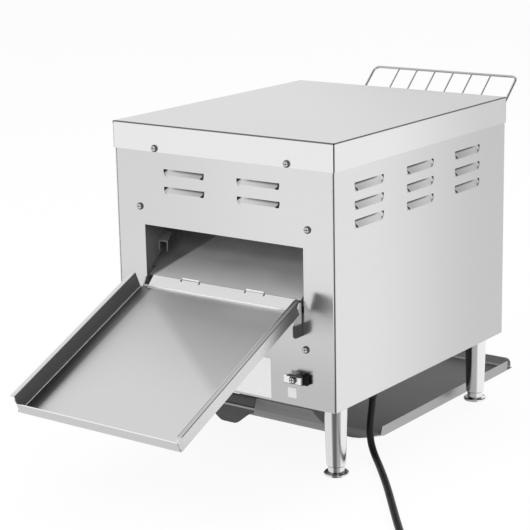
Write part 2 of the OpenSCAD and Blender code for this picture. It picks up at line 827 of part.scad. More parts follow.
// Wire rack: a rounded top bar and two side wires, two cross bars below them and six inner rods.
// The side wires lap the infeed opening's sill, hook down behind it and lean on the wall below.
module feed_rack() {
    half = rack_w / 2;
    bend = 9;
    knuckle = rack_wire + 0.5;
    slide = [cos(rack_slope), -sin(rack_slope)];
    low = rack_top + slide * 181;
    lap = [-end_y + 3.6, front_sill + rack_wire / 2 + 0.3];
    prop = rack_top + slide * 168;
    foot = [-end_y - knuckle / 2 - 0.2, 312];
    color("silver") {
        translate([0, rack_top.x, rack_top.y]) rotate([-rack_slope, 0, 0]) {
            translate([-half + bend, 0, 0]) rotate([0, 90, 0]) cylinder(d = rack_wire, h = rack_w - 2 * bend);
            for (s = [-1, 1]) {
                translate([s * (half - bend), bend, 0]) rotate(s < 0 ? 180 : -90)
                    rotate_extrude(angle = 90) translate([bend, 0]) circle(d = rack_wire);
                translate([s * half, bend, 0]) rotate([-90, 0, 0]) cylinder(d = rack_wire, h = 181 - bend);
            }
            for (t = [70, 176]) translate([-half, t, -rack_wire / 2]) rotate([0, 90, 0])
                cylinder(d = rack_rod + 0.4, h = rack_w);
            for (i = [0 : 5]) translate([(i - 2.5) * 33.4, 0.4, 0]) rotate([-90, 0, 0])
                cylinder(d = rack_rod, h = 187);
        }
        for (s = [-1, 1]) {
            wire_in_plane(s * half, low, lap, rack_wire);
            wire_in_plane(s * half, lap, lap - [0, 12], rack_wire);
            wire_in_plane(s * half, prop, foot, rack_wire);
            for (p = [lap, low, foot]) translate([s * half, p.x, p.y]) sphere(d = knuckle);
        }
    }
}

// Rear tray in its own slope: u runs down the slope from the top end, v up from the floor's upper face
module tray_section() {
    half = tray_w / 2;
    lip = 7;
    for (s = [0, 1]) mirror([s, 0]) {
        square([half, sheet]);
        translate([half - sheet, 0]) square([sheet, tray_wall]);
        translate([half - sheet, tray_wall - sheet]) square([lip + sheet, sheet]);
    }
}

module rear_tray() {
    half = tray_w / 2;
    end_wall_h = 15;
    color("gainsboro") translate([0, tray_top.x, tray_top.y]) rotate([-tray_slope, 0, 0]) translate([0, 0, -sheet]) {
        difference() {
            translate([0, tray_len, 0]) rotate([90, 0, 0]) linear_extrude(tray_len) tray_section();
            for (s = [-1, 1]) {
                translate([s * (half + 4) - 5, tray_len - 3, tray_wall - 4]) cube([10, 6, 8]);
                translate([s * half, tray_len, 3]) rotate([0, 0, 45]) translate([-1.2, -1.2, 0]) cube([2.4, 2.4, tray_wall]);
            }
        }
        translate([-half + 1.6, tray_len - sheet, 0]) cube([tray_w - 3.2, sheet, end_wall_h]);
    }
}

// Sloping strip that carries toast from the opening's edge down onto the tray, with two upright tabs
module tray_ramp() {
    half = 121;
    top = [end_y + 0.2, 248];
    down = [cos(tray_slope), -sin(tray_slope)];
    hem = tray_top + 2 * down;
    color("gainsboro") {
        difference() {
            translate([-half, 0, 0]) rotate([90, 0, 90]) linear_extrude(2 * half) polygon([
                top, [236.9, 234.5], hem + [0.5, 1.1], hem, tray_top + 0.3 * down, [235.9, 233.6], top - [0, 1.4]
            ]);
            for (s = [-1, 1], e = [-1, 1]) translate([s * 55 + e * 15.7 - 1.2, top.x - 1, top.y - 4]) cube([2.4, 4, 5]);
        }
        for (s = [-1, 1]) translate([s * 55 - 14.5, top.x, top.y - 1.2]) cube([29, sheet, 3.4]);
    }
}

// Side hooks of the rear tray: each laps the sill, hooks behind it and rests a rounded pad on the wall
module tray_hooks() {
    out = end_y + 0.4;
    down = [cos(tray_slope), -sin(tray_slope)];
    under = tray_top - sheet * [sin(tray_slope), cos(tray_slope)];
    color("dimgray") for (s = [-1, 1]) translate([s * hook_x - 1, 0, 0]) rotate([90, 0, 90]) linear_extrude(2) {
        polygon([[out, 214], [out + 9, 214], [out + 6.5, 232], [out + 6.5, 245], [out, 245]]);
        translate([end_y - 7, rear_sill]) square([14, 8]);
        translate([end_y - 7, rear_sill - 9]) square([5, 17]);
        translate([out, 204]) square([20, 9]);
        translate([out, 199]) square([15, 19]);
        for (z = [204, 213]) translate([out + 15, z]) circle(5);
        polygon([[out + 6, 245], under, under + 16 * down, under + 14 * down - [0, 4], [out + 6, 217]]);
    }
}

// Long tray on the counter: a flat floor with low walls, its rear end sweeping up under the belt's end
function catch_curve() = [
    [25, 0], [46, 5], [67, 9.5], [90, 16], [107, 22], [116, 25.8], [146, 42], [175, 61], [189, 73.5], [205, 90]
];

module catch_tray() {
    half = catch_w / 2;
    front = -357;
    up = catch_curve();
    wall_h = 15;
    wall_end = 34;
    corner = 8;
    color("darkgray") {
        translate([-half, front, 0]) cube([catch_w, up[0].x - front, sheet]);
        translate([-half, 0, 0]) rotate([90, 0, 90]) linear_extrude(catch_w)
            polygon(concat(up, [for (i = [len(up) - 1 : -1 : 0]) up[i] + [-0.6, sheet + 0.2]]));
        for (s = [-1, 1]) translate([s * (half - sheet / 2) - sheet / 2, 0, 0]) rotate([90, 0, 90])
            linear_extrude(sheet) polygon([[-340, 0], [-342, wall_h], [wall_end - 4, wall_h], [wall_end, 2.5], [25, 0]]);
        translate([0, front + sheet, 0]) rotate([90, 0, 0]) linear_extrude(sheet) {
            translate([-half + 3, 0]) square([catch_w - 6, wall_h - corner]);
            translate([-half + 3 + corner, 0]) square([catch_w - 6 - 2 * corner, wall_h]);
            for (s = [-1, 1]) translate([s * (half - 3 - corner), wall_h - corner]) circle(corner);
        }
    }
}

// Tongue on the long tray's rear end, by which it is drawn out: its lower end is round at both corners
module catch_handle() {
    half = 41;
    tip = [216.8, 57];
    corner = 10;
    color("darkgray") {
        translate([-half, 0, 0]) rotate([90, 0, 90]) linear_extrude(2 * half) polygon([
            [205, 90], [204.4, 91.2], [209.5, 92.4], [215.4, 74], tip + [1.4, 6], tip + [0, 6], [213.9, 74], [208.6, 90.6]
        ]);
        translate([0, tip.x + 1.4, tip.y]) rotate([90, 0, 0]) linear_extrude(1.4) {
            translate([-half + corner, -4]) square([2 * half - 2 * corner, corner]);
            for (s = [-1, 1]) translate([s * (half - corner), corner - 4]) intersection() {
                circle(corner);
                translate([-corner, -corner]) square([2 * corner, corner]);
            }
        }
    }
}

// ---- legs and feet ----

module leg(sx, sy) {
    color("silver") translate([sx * leg_x, sy * leg_y, 0]) difference() {
        union() {
            rotate_extrude() polygon([
                [0, leg_bottom + 0.5], [12.6, leg_bottom], [13.3, leg_bottom + 1], [13.6, leg_bottom + 4],
                [leg_d / 2, leg_h - 2], [leg_d / 2, leg_h], [0, leg_h]
            ]);
            translate([0, 0, leg_h - 1]) cylinder(r = 11, h = 1 + sheet);
            translate([0, 0, leg_h - 1]) cylinder(r = 4, h = 14);
        }
        translate([0, 0, leg_bottom - 1]) cylinder(r = foot_stem_r + run_gap, h = 32);
    }
}

module foot(sx, sy) {
    color("gray") translate([sx * leg_x, sy * leg_y, 0]) rotate_extrude() polygon([
        [0, 0], [foot_d / 2 - 1, 0], [foot_d / 2, 1], [foot_d / 2, 3.4], [foot_d / 2 - 1.4, 4.6],
        [foot_stem_r, 5.6], [foot_stem_r, 40], [foot_stem_r - 1, 41], [0, 41]
    ]);
}

module leg_rear_left() { leg(1, 1); }
module leg_rear_right() { leg(-1, 1); }
module leg_front_left() { leg(1, -1); }
module leg_front_right() { leg(-1, -1); }
module foot_rear_left() { foot(1, 1); }
module foot_rear_right() { foot(-1, 1); }
module foot_front_left() { foot(1, -1); }
module foot_front_right() { foot(-1, -1); }

// ---- fasteners and terminals ----

module casing_screws() {
    color("silver") for (turn = [0, 180]) rotate(turn) {
        for (s = [-1, 1]) translate([s * lid_screw_x, lid_d / 2, lid_screw_z]) rotate([-90, 0, 0]) pan_screw(6);
        for (p = rear_screws()) translate([p.x, end_y, p.y]) rotate([-90, 0, 0]) pan_screw(6);
    }
}

// Bonding terminal: a plate with a turned-out top flange, held off the rear wall by its foot, with a clamp screw
module earth_terminal() {
    color("silver") translate([earth_x, end_y, earth_z]) rotate([-90, 0, 0]) {
        translate([0, 0, -6]) cylinder(r = screw_r, h = 14);
        cylinder(r = 5, h = 5);
        difference() {
            translate([-15, -6, 8]) cube([30, 12, 1.5]);
            cylinder(r = screw_r, h = 20);
        }
        translate([-15, -7.2, 8]) cube([22, 1.2, 7]);
        translate([0, 0, 5]) cylinder(r = 4.4, h = 3);
        translate([0, 0, 9.5]) difference() {
            rotate_extrude() polygon([[0, 0], [5.6, 0], [5.6, 1.6], [4.7, 2.9], [2.8, 3.6], [0, 3.8]]);
            for (a = [0, 90]) rotate(a) translate([-3.2, -0.6, 2]) cube([6.4, 1.2, 2]);
        }
    }
}

// ---- cord ----

// Strain relief: a collar in the base plate and a tapered boot below it
module cord_gland() {
    color("black") translate([gland_at.x, gland_at.y, 0]) rotate_extrude() polygon([
        [0, gland_low], [cord_d / 2 + 1.4, gland_low], [9, leg_h - 3], [10.5, leg_h - 3],
        [10.5, leg_h + sheet], [7, leg_h + sheet], [7, leg_h + 2 * sheet], [10, leg_h + 2 * sheet],
        [10, leg_h + 7], [0, leg_h + 7]
    ]);
}

// Tube of circular section along a list of points, its rings square to the way at each point
function way(p, i) = let (a = p[max(i - 1, 0)], b = p[min(i + 1, len(p) - 1)]) (b - a) / norm(b - a);
function ring(p, i, r, n) = let (t = way(p, i), u = cross(t, [0.77, 0.64, 0]), e = u / norm(u), f = cross(t, e))
    [for (k = [0 : n - 1]) p[i] + r * (cos(360 * k / n) * e + sin(360 * k / n) * f)];

module tube(p, r, n) {
    last = len(p) - 1;
    polyhedron(
        points = [for (i = [0 : last]) each ring(p, i, r, n)],
        faces = concat(
            [[for (k = [0 : n - 1]) k]],
            [for (i = [0 : last - 1], k = [0 : n - 1]) let (j = (k + 1) % n)
                [i * n + k, (i + 1) * n + k, (i + 1) * n + j, i * n + j]],
            [[for (k = [n - 1 : -1 : 0]) last * n + k]]
        )
    );
}

module power_cord() {
    color("black") tube(cord_route, cord_d / 2, 10);
}

// Outer shape of the coiled length: two turns wide and two turns high
module cord_coil() {
    color("black") translate([coil_at.x, coil_at.y, 0]) rotate_extrude($fn = 64) {
        translate([coil_mid_r - cord_d, cord_d / 2]) square([2 * cord_d, cord_d]);
        translate([coil_mid_r - cord_d / 2, 0]) square([cord_d, 2 * cord_d]);
        for (s = [-0.5, 0.5], z = [0.5, 1.5]) translate([coil_mid_r + s * cord_d, z * cord_d]) circle(cord_d / 2);
    }
}

// Moulded round plug lying on the counter beside the coil, its two pins pointing away from the coil
module mains_plug() {
    r = 18;
    color("black") translate([coil_at.x + 14, coil_at.y + coil_mid_r + cord_d / 2, r]) rotate([0, 90, 0]) {
        rotate_extrude() polygon([
            [0, 0], [5.8, 0], [8, 28], [13, 36], [r - 1, 46], [r, 50], [r, 76], [r - 1.5, 78], [0, 78]
        ]);
        for (s = [-1, 1]) translate([0, s * 9.5, 77]) cylinder(r = 2.4, h = 20);
    }
}

// ---- assembly ----

lid();
rear_panel();
front_panel();
left_panel();
right_panel();
base_plate();
left_frame();
right_frame();
top_reflector();
lower_reflector();
heat_shield();
upper_tubes();
lower_tubes();
tube_caps();
discharge_plate();
wall_brackets();
drive_shaft();
drive_sprockets();
chain_wheel();
idler_shaft();
idler_sprockets();
shaft_bearings();
conveyor_belt();
drive_chain();
gear_motor();
motor_shaft();
motor_pinion();
fan_frame();
fan_rotor();
speed_controller();
terminal_block();
speed_regulator();
speed_spindle();
speed_knob();
heat_switch();
heat_spindle();
heat_knob();
power_lamp();
heat_lamp();
feed_rack();
rear_tray();
tray_ramp();
tray_hooks();
catch_tray();
catch_handle();
leg_rear_left();
leg_rear_right();
leg_front_left();
leg_front_right();
foot_rear_left();
foot_rear_right();
foot_front_left();
foot_front_right();
casing_screws();
earth_terminal();
cord_gland();
power_cord();
cord_coil();
mains_plug();
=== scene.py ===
import bpy
import numpy as np
from mathutils import Matrix, Vector


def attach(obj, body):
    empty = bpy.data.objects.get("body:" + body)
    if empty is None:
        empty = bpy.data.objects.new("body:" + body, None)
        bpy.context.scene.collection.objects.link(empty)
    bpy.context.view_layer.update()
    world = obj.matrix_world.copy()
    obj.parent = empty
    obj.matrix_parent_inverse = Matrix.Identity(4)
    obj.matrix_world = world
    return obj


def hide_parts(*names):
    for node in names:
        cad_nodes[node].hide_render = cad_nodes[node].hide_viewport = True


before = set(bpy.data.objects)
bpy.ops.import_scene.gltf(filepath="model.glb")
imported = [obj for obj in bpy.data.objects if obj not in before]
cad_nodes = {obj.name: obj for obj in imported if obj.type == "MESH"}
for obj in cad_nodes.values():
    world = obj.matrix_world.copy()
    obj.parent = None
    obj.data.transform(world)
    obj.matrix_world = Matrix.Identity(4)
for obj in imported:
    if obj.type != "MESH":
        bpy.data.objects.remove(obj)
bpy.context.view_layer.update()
scene = bpy.context.scene
scene.view_settings.view_transform = "Standard"

# ---- the camera ----
# A long lens behind the machine's right rear corner, a little above the lid, looking slightly down.
EYE = (-1.3765, 1.9762, 0.8381)
EYE_RIGHT = (-0.8050229, -0.59290975, -0.01990399)
EYE_UP = (0.12950579, -0.20838039, 0.96943585)
EYE_BACK = (-0.57893556, 0.77784037, 0.24453623)
LENS_MM = 115.74
SEES_TO = 60

lens = bpy.data.cameras.new("eye")
lens.lens = LENS_MM
lens.clip_end = SEES_TO
camera = bpy.data.objects.new("eye", lens)
camera.matrix_world = Matrix.Translation(EYE) @ Matrix((EYE_RIGHT, EYE_UP, EYE_BACK)).transposed().to_4x4()
scene.collection.objects.link(camera)
scene.camera = camera


# ---- the studio ----
# A white floor that keeps the machine's shadow, white surroundings and broad soft lamps. Two cards of
# dark cloth stand outside the view, so that the bright metal has something to mirror.
def grey(tone):
    """A neutral colour of that tone."""
    return (tone, tone, tone, 1)


class Link:
    """A value or colour on its way through a material's nodes. Arithmetic on it adds Math nodes."""

    def __init__(self, nodes, socket):
        self.nodes = nodes
        self.socket = socket

    def with_math(self, operation, *values):
        return self.nodes.add("ShaderNodeMath", {"operation": operation}, *values)

    def __add__(self, other):
        return self.with_math("ADD", self, other)

    def __sub__(self, other):
        return self.with_math("SUBTRACT", self, other)

    def __mul__(self, other):
        return self.with_math("MULTIPLY", self, other)

    def __rsub__(self, other):
        return self.with_math("SUBTRACT", other, self)

    def __gt__(self, other):
        return self.with_math("GREATER_THAN", self, other)

    def __abs__(self):
        return self.with_math("ABSOLUTE", self)

    __radd__ = __add__
    __rmul__ = __mul__


class Nodes:
    """A node tree of a material or of the world, which add() fills."""

    def __init__(self, tree):
        self.tree = tree
        self.material = self.surface = self.place = self.colour = None

    def add(self, kind, settings=None, *values, out=0, **named):
        """A node of that kind: settings first, then its sockets by number or name, then its output."""
        made = self.tree.nodes.new(kind)
        settings = dict(settings or {})
        stops = settings.pop("stops", ())
        for key, value in settings.items():
            setattr(made, key, value)
        for i, (position, colour) in enumerate(stops):
            ramp = made.color_ramp.elements
            stop = ramp[i] if i < len(ramp) else ramp.new(position)
            stop.position = position
            stop.color = colour
        for key, value in list(enumerate(values)) + list(named.items()):
            self.feed(made, key, value)
        return Link(self, made.outputs[out])

    def feed(self, made, key, value):
        """Gives a socket of a node, by number or by name, a value or a link."""
        socket = made.inputs[key.replace("_", " ") if isinstance(key, str) else key]
        if isinstance(value, Link):
            self.tree.links.new(value.socket, socket)
        else:
            socket.default_value = value

    def mixed(self, first, second, factor):
        """A colour that goes from the first to the second as the factor goes from 0 to 1.

        The Mix node has sockets for each kind of value. Those of a colour are inputs 6 and 7 and output 2.
        """
        made = self.tree.nodes.new("ShaderNodeMix")
        made.data_type = "RGBA"
        for key, value in ((0, factor), (6, first), (7, second)):
            self.feed(made, key, value)
        return Link(self, made.outputs[2])

    def shown(self):
        """1 where the eye sees this at once, in a mirror or through glass; 0 for light that falls on things."""
        camera_ray, glossy_ray, transmission_ray = (
            self.add("ShaderNodeLightPath", out=name)
            for name in ("Is Camera Ray", "Is Glossy Ray", "Is Transmission Ray"))
        return (camera_ray + glossy_ray + transmission_ray) > 0.5

    def show(self, shader):
        """Makes that shader the whole surface."""
        self.feed(self.tree.nodes["Material Output"], "Surface", shader)

    def vary(self, **fed):
        """Feeds the Principled surface's sockets, and keeps its colour for shaded()."""
        for key, value in fed.items():
            self.feed(self.surface, key, value)
        self.colour = fed.get("Base_Color", self.colour)

    def shaded(self, *amounts, to=grey(0.02)):
        """Takes the surface's colour towards another one by each amount in turn."""
        for amount in amounts:
            self.vary(Base_Color=self.mixed(self.colour, to, amount))

    def part(self, axis):
        """The x, y or z of the place alone, in metres."""
        return self.add("ShaderNodeSeparateXYZ", None, self.place, out=axis)

    def rise(self, value, low, high):
        """0 below low, 1 above high and a smooth S between, for low above high the other way round."""
        return self.add("ShaderNodeMapRange", {"interpolation_type": "SMOOTHSTEP"}, value, low, high, 0.0, 1.0)

    def band(self, axis, low, high, soft=0.001):
        """1 between two places along an axis, 0 outside."""
        at = self.part(axis)
        return self.rise(at, low - soft, low) * self.rise(at, high + soft, high)

    def wrapped(self, value, half):
        """The value brought into the range from -half to half by whole periods."""
        return self.add("ShaderNodeMath", {"operation": "WRAP"}, value, half, -half)

    def noise(self, waves, detail=2.0, rough=0.5):
        """Noise from 0 to 1 over the place, with that many waves a metre along x, y and z."""
        drawn = self.add("ShaderNodeMapping", None, Vector=self.place, Scale=waves)
        return self.add("ShaderNodeTexNoise", None, Vector=drawn, Scale=1.0, Detail=detail, Roughness=rough)

    def bump(self, height, depth):
        """A normal that follows a height from 0 to 1, whose full range is depth metres."""
        return self.add("ShaderNodeBump", None, Strength=1.0, Distance=depth, Height=height)


def new_material(name):
    """The nodes of a new material, which keep it as their material."""
    made = bpy.data.materials.new(name)
    made.use_nodes = True
    nodes = Nodes(made.node_tree)
    nodes.material = made
    return nodes


def stage_sheet(name, corners, nodes):
    """One flat four-cornered sheet of the studio, with the material of those nodes."""
    mesh = bpy.data.meshes.new(name)
    mesh.from_pydata(corners, [], [(0, 1, 2, 3)])
    mesh.materials.append(nodes.material)
    made = bpy.data.objects.new(name, mesh)
    scene.collection.objects.link(made)
    return made


AIR_FILL = 0.78
world = bpy.data.worlds.new("studio")
world.use_nodes = True
scene.world = world
air = Nodes(world.node_tree)
background = world.node_tree.nodes["Background"]
air.feed(background, "Color", grey(1))
air.feed(background, "Strength", AIR_FILL + air.shown() * (1 - AIR_FILL))

FLOOR_SHOWN = 0.92
FLOOR_HALF = 14
FLOOR_Z = -0.0002
floor_white = new_material("floor_white")
floor_white.show(floor_white.add("ShaderNodeMixShader", None, floor_white.shown() * FLOOR_SHOWN,
                                 floor_white.add("ShaderNodeBsdfDiffuse", Color=grey(0.86)),
                                 floor_white.add("ShaderNodeEmission", Color=grey(1), Strength=1.0)))
stage_sheet("floor", [(x * FLOOR_HALF, y * FLOOR_HALF, FLOOR_Z) for x, y in ((-1, -1), (1, -1), (1, 1), (-1, 1))],
            floor_white)

MACHINE_MIDDLE = Vector((0, 0, 0.25))


def soft_lamp(name, place, size, power):
    """A square lamp at that place, so many metres wide and watts strong, that faces the machine's middle."""
    light = bpy.data.lights.new(name, "AREA")
    light.size = size
    light.energy = power
    made = bpy.data.objects.new(name, light)
    facing = (MACHINE_MIDDLE - Vector(place)).to_track_quat("-Z", "Y")
    made.matrix_world = Matrix.Translation(place) @ facing.to_matrix().to_4x4()
    made.visible_glossy = False
    scene.collection.objects.link(made)


soft_lamp("rear_lamp", (0.6, 2.2, 2.4), size=1.6, power=34)
soft_lamp("side_lamp", (-2.6, 1.2, 1.6), size=1.4, power=22)
soft_lamp("top_lamp", (0.2, -0.8, 2.8), size=1.8, power=22)


def dark_card(name, turns, low, high, tone):
    """An upright or leaning card between two azimuths, its lower and upper edge given as (height, distance)."""
    ends = np.radians(turns)
    corners = [(away * np.cos(end), away * np.sin(end), height) for end, (height, away) in
               ((ends[0], low), (ends[1], low), (ends[1], high), (ends[0], high))]
    cloth = new_material(name)
    cloth.show(cloth.add("ShaderNodeEmission", Color=grey(tone), Strength=1.0))
    made = stage_sheet(name, corners, cloth)
    made.visible_camera = made.visible_diffuse = made.visible_shadow = False


dark_card("overhead_card", turns=(165, 262), low=(1.0, 2.6), high=(2.9, 0.9), tone=0.06)
dark_card("rear_card", turns=(92, 121), low=(0.0, 2.9), high=(1.8, 2.9), tone=0.10)


# ---- the power cord ----
# Black rubber mains cord: it leaves the gland's boot downwards, bends round onto the counter and runs
# off in one line to a neat coil with a tie round it. The gland and the moulded plug are rubber too.
def finish(name, **plain):
    """The nodes of a new material with a Principled surface, whose plain values are given by name."""
    nodes = new_material(name)
    nodes.surface = nodes.tree.nodes["Principled BSDF"]
    nodes.place = nodes.add("ShaderNodeTexCoord", out="Object")
    nodes.vary(**plain)
    return nodes


def dress(nodes, *names):
    """Gives CAD nodes the finish of those material nodes in every slot they have."""
    for name in names:
        for slot in cad_nodes[name].material_slots:
            slot.material = nodes.material


def add_piece(name, mesh, nodes, body):
    """A new piece with its place in its mesh, which rides on a body."""
    mesh.materials.append(nodes.material)
    made = bpy.data.objects.new(name, mesh)
    scene.collection.objects.link(made)
    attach(made, body)
    return made


def grid_mesh(name, points, closed_u, closed_v, smooth=True):
    """A mesh over an array of points [u, v, xyz], whose rows or columns may close on themselves.

    Where only the columns close, it is a tube, and a flat face shuts each end.
    """
    nu, nv = points.shape[:2]
    u = np.arange(nu if closed_u else nu - 1)[:, None]
    v = np.arange(nv if closed_v else nv - 1)[None, :]
    a = u * nv + v
    b = (u + 1) % nu * nv + v
    c = (u + 1) % nu * nv + (v + 1) % nv
    d = u * nv + (v + 1) % nv
    faces = np.stack([a, b, c, d], -1).reshape(-1, 4).tolist()
    round_about = len(faces)
    if closed_v and not closed_u:
        faces += [list(range(nv)), list(range(nu * nv - 1, (nu - 1) * nv - 1, -1))]
    mesh = bpy.data.meshes.new(name)
    mesh.from_pydata(points.reshape(-1, 3), [], faces)
    mesh.polygons.foreach_set("use_smooth", smooth & (np.arange(len(faces)) < round_about))
    return mesh


def along(points, steps):
    """Points on a smooth curve through those points, that many to each span.

    A span is the cubic whose slope at either end runs from the neighbour before to the one after.
    """
    p = np.asarray(points, float)
    slope = (np.roll(p, -1, 0) - np.roll(p, 1, 0)) / 2
    slope[0], slope[-1] = p[1] - p[0], p[-1] - p[-2]
    t = np.linspace(0, 1, steps, endpoint=False)[None, :, None]
    a, b, ma, mb = (q[:, None, :] for q in (p[:-1], p[1:], slope[:-1], slope[1:]))
    curve = (2 * t**3 - 3 * t**2 + 1) * a + (t**3 - 2 * t**2 + t) * ma + (3 * t**2 - 2 * t**3) * b + (t**3 - t**2) * mb
    return np.concatenate([curve.reshape(-1, 3), p[-1:]])


def swept(path, radius, sides):
    """Rings of that radius round a path, each square to the way there: a circle of cosine and sine.

    A ring is counted from the level line square to the way, or from a fixed one where the way is upright.
    """
    upright_side = (0.04, 0.03, 0)
    way = np.gradient(path, axis=0)
    way /= np.linalg.norm(way, axis=1, keepdims=True)
    level = np.cross(way, (0, 0, 1)) + upright_side
    side = np.cross(way, level)
    side /= np.linalg.norm(side, axis=1, keepdims=True)
    over = np.cross(side, way)
    turn = np.linspace(0, 2 * np.pi, sides, endpoint=False)[None, :, None]
    ring = np.cos(turn) * side[:, None, :] + np.sin(turn) * over[:, None, :]
    return path[:, None, :] + radius * ring


def eased(x, start, end):
    """0 before start, 1 after end, and a smooth S between them: t * t * (3 - 2 * t)."""
    t = np.clip((x - start) / (end - start), 0, 1)
    return t * t * (3 - 2 * t)


CORD_R = 0.005
CORD_SIDES = 20
CORD_STEPS = 3
CORD_ROUTE = np.array([
    (-152, 88, 79), (-152, 88, 72), (-152.6, 91, 62), (-154, 95.5, 52), (-156, 100, 42), (-158.5, 104, 31),
    (-162.5, 107.8, 21), (-169, 113, 13), (-178, 121, 7.8), (-189.5, 132.5, 5.4), (-203.5, 148.4, 5),
    (-218.5, 166, 5), (-237, 188, 5), (-258.5, 214.5, 5), (-282, 244.3, 5), (-307, 276, 5), (-331, 306, 5),
    (-354.5, 334.7, 5), (-378, 363.3, 5), (-402, 392, 5),
]) / 1000

# The coil winds clockwise, in degrees from its start: an outer turn and an inner one below, then an inner
# and an outer one above.
COIL_AT = np.array((-0.352, 0.434))
COIL_R = 0.060
COIL_START = -140
COIL_TURNED = 1210
COIL_STEP = 10.0
GOES_IN, GOES_UP, GOES_OUT = 300, 600, 905
MOVES_OVER = 55
turned = np.arange(COIL_STEP, COIL_TURNED + 1, COIL_STEP)
inward = eased(turned, GOES_IN, GOES_IN + MOVES_OVER) - eased(turned, GOES_OUT, GOES_OUT + MOVES_OVER)
climbed = eased(turned, GOES_UP, GOES_UP + MOVES_OVER)
coil_radius = COIL_R + CORD_R - 2 * CORD_R * inward
angle = np.radians(COIL_START - turned)
coil = np.stack([COIL_AT[0] + coil_radius * np.cos(angle), COIL_AT[1] + coil_radius * np.sin(angle),
                 CORD_R + 2 * CORD_R * climbed], -1)
PLUG_FACE = (-0.338, COIL_AT[1] + COIL_R + CORD_R, 0.018)
to_plug = np.array([(PLUG_FACE[0] - 0.007, PLUG_FACE[1], 0.0168), (PLUG_FACE[0] + 0.002, PLUG_FACE[1], 0.018)])
cord_path = along(np.concatenate([CORD_ROUTE, coil, to_plug]), CORD_STEPS)

rubber = finish("cord_rubber", Base_Color=(0.008, 0.008, 0.009, 1), Roughness=0.42, Specular_IOR_Level=0.25)
rubber.vary(Roughness=0.36 + rubber.noise((60, 60, 60), 3) * 0.16,
            Normal=rubber.bump(rubber.noise((900, 900, 900)), 0.00006))
cord = add_piece("power_cord_lead", grid_mesh("power_cord_lead", swept(cord_path, CORD_R, CORD_SIDES), False, True),
                 rubber, "casing")
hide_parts("power_cord", "cord_coil")
dress(rubber, "cord_gland", "mains_plug")

# The tie is a flat ring round the coil's two by two cords. Its outline is a squared circle: the cosine and
# the sine each to the power of a half, with their signs.
TIE_HALF = 0.0105
TIE_W = 0.012
TIE_THICK = 0.0008
TIE_MIDDLE = 0.0104
TIE_POINTS = 40
TIE_LOWEST = (0.0004, 0.0001)
tie_turn = np.linspace(0, 2 * np.pi, TIE_POINTS, endpoint=False)
aside, raised = (np.sign(wave) * np.abs(wave) ** 0.5 for wave in (np.cos(tie_turn), np.sin(tie_turn)))
tie_rows = []
for across, out in ((1, 0), (1, 1), (-1, 1), (-1, 0)):
    grown = TIE_HALF + TIE_THICK * out
    tie_rows.append(np.stack([COIL_AT[0] - COIL_R - aside * grown, np.full(TIE_POINTS, COIL_AT[1] + across * TIE_W / 2),
                              np.maximum(TIE_MIDDLE + raised * grown, TIE_LOWEST[out])], -1))
tie_black = finish("tie_nylon", Base_Color=(0.03, 0.03, 0.032, 1), Roughness=0.7)
tie_black.vary(Normal=tie_black.bump(tie_black.noise((2200, 2200, 2200)), 0.0002))
tie = add_piece("cord_tie", grid_mesh("cord_tie", np.array(tie_rows), True, True), tie_black, "casing")


# ---- the casing ----
# Lid and walls are folded from 1 mm stainless sheet with a fine satin grain, drawn along each sheet. Light and
# shade are painted on: the side walls are a lighter copy of the end walls, the lid's rims a lighter copy of its top,
# and painted shade darkens the walls across them, the lid's bends and corners, and the louvres.
def satin_steel(name, tone, grain, rough=0.30, depth=0.000012):
    """Rolled sheet whose grain runs the way that grain's waves a metre are few.

    The grain and a soft cloud vary its tone and roughness a little, and the grain stands depth metres high.
    """
    made = finish(name, Metallic=1.0, Roughness=rough)
    lines = made.noise(grain, 3, 0.6)
    cloud = made.noise((7, 7, 7), 2)
    made.vary(Base_Color=made.mixed(grey(tone * 0.93), grey(tone * 1.04), lines * 0.7 + cloud * 0.3),
              Roughness=rough - 0.06 + 0.12 * (lines * 0.5 + cloud * 0.5),
              Normal=made.bump(lines, depth))
    return made


LOUVRE_HALF = 0.0350
LOUVRE_RISE = 0.0062
CURL_MIDDLE = (0.025, 0.004)
CURL_R = 0.0106
CURL_DARK, GAP_DARK = 0.86, 0.84


def louvre_shade(nodes, across, rows, field, near, thick, curl, slit_dark, face, steep, lip):
    """The painted shade of a wall at its pressed louvres: along the slit, at both ends, and a little over each face.

    across and rows give the grid's middle and half its pitch along the wall and up it. near is the end
    (-1 or 1) where the strip comes up steeply and shows as a dark crescent that many metres thick, from the
    lower to the upper height in curl. The gap at the other end falls off at that slope, and the face is
    plain below lip.
    """
    u = nodes.wrapped(nodes.part(across[0]) - across[1], across[2]) * near
    v = nodes.wrapped(nodes.part("Z") - rows[0], rows[1])
    past_u, past_v = u - CURL_MIDDLE[0], v - CURL_MIDDLE[1]
    from_middle = nodes.add("ShaderNodeMath", {"operation": "SQRT"}, past_u * past_u + past_v * past_v)
    crescent = (nodes.rise(from_middle, CURL_R - 0.0006 - thick, CURL_R - thick)
                * nodes.rise(from_middle, CURL_R, CURL_R - 0.0005) * nodes.rise(u, 0.0258, 0.0285)
                * nodes.rise(v, curl[0] - 0.0015, curl[0]) * nodes.rise(v, curl[1] + 0.0015, curl[1]))
    gap = nodes.rise(v - (u + LOUVRE_HALF) * steep, -0.0004, 0.0008)
    inside = (nodes.rise(abs(u), LOUVRE_HALF, LOUVRE_HALF - 0.0006)
              * nodes.rise(abs(v), LOUVRE_RISE, LOUVRE_RISE - 0.0004))
    slit = inside * nodes.rise(v, 0.0010, 0.0050) * nodes.rise(u, -0.031, -0.014) * slit_dark
    shade = inside * face * (0.6 + 0.6 * nodes.rise(u, -0.030, 0.030)) * nodes.rise(v, lip, lip + 0.0025)
    return field * nodes.rise(crescent * CURL_DARK + gap * inside * GAP_DARK + slit + shade, 0.0, 1.0)


WALL_SIDE, WALL_END = 0.1835, 0.2235
LID_SIDE, LID_END, LID_TOP = 0.185, 0.225, 0.460
SHEET_TONE = 0.70
LEVEL_GRAIN = (14, 14, 1400)

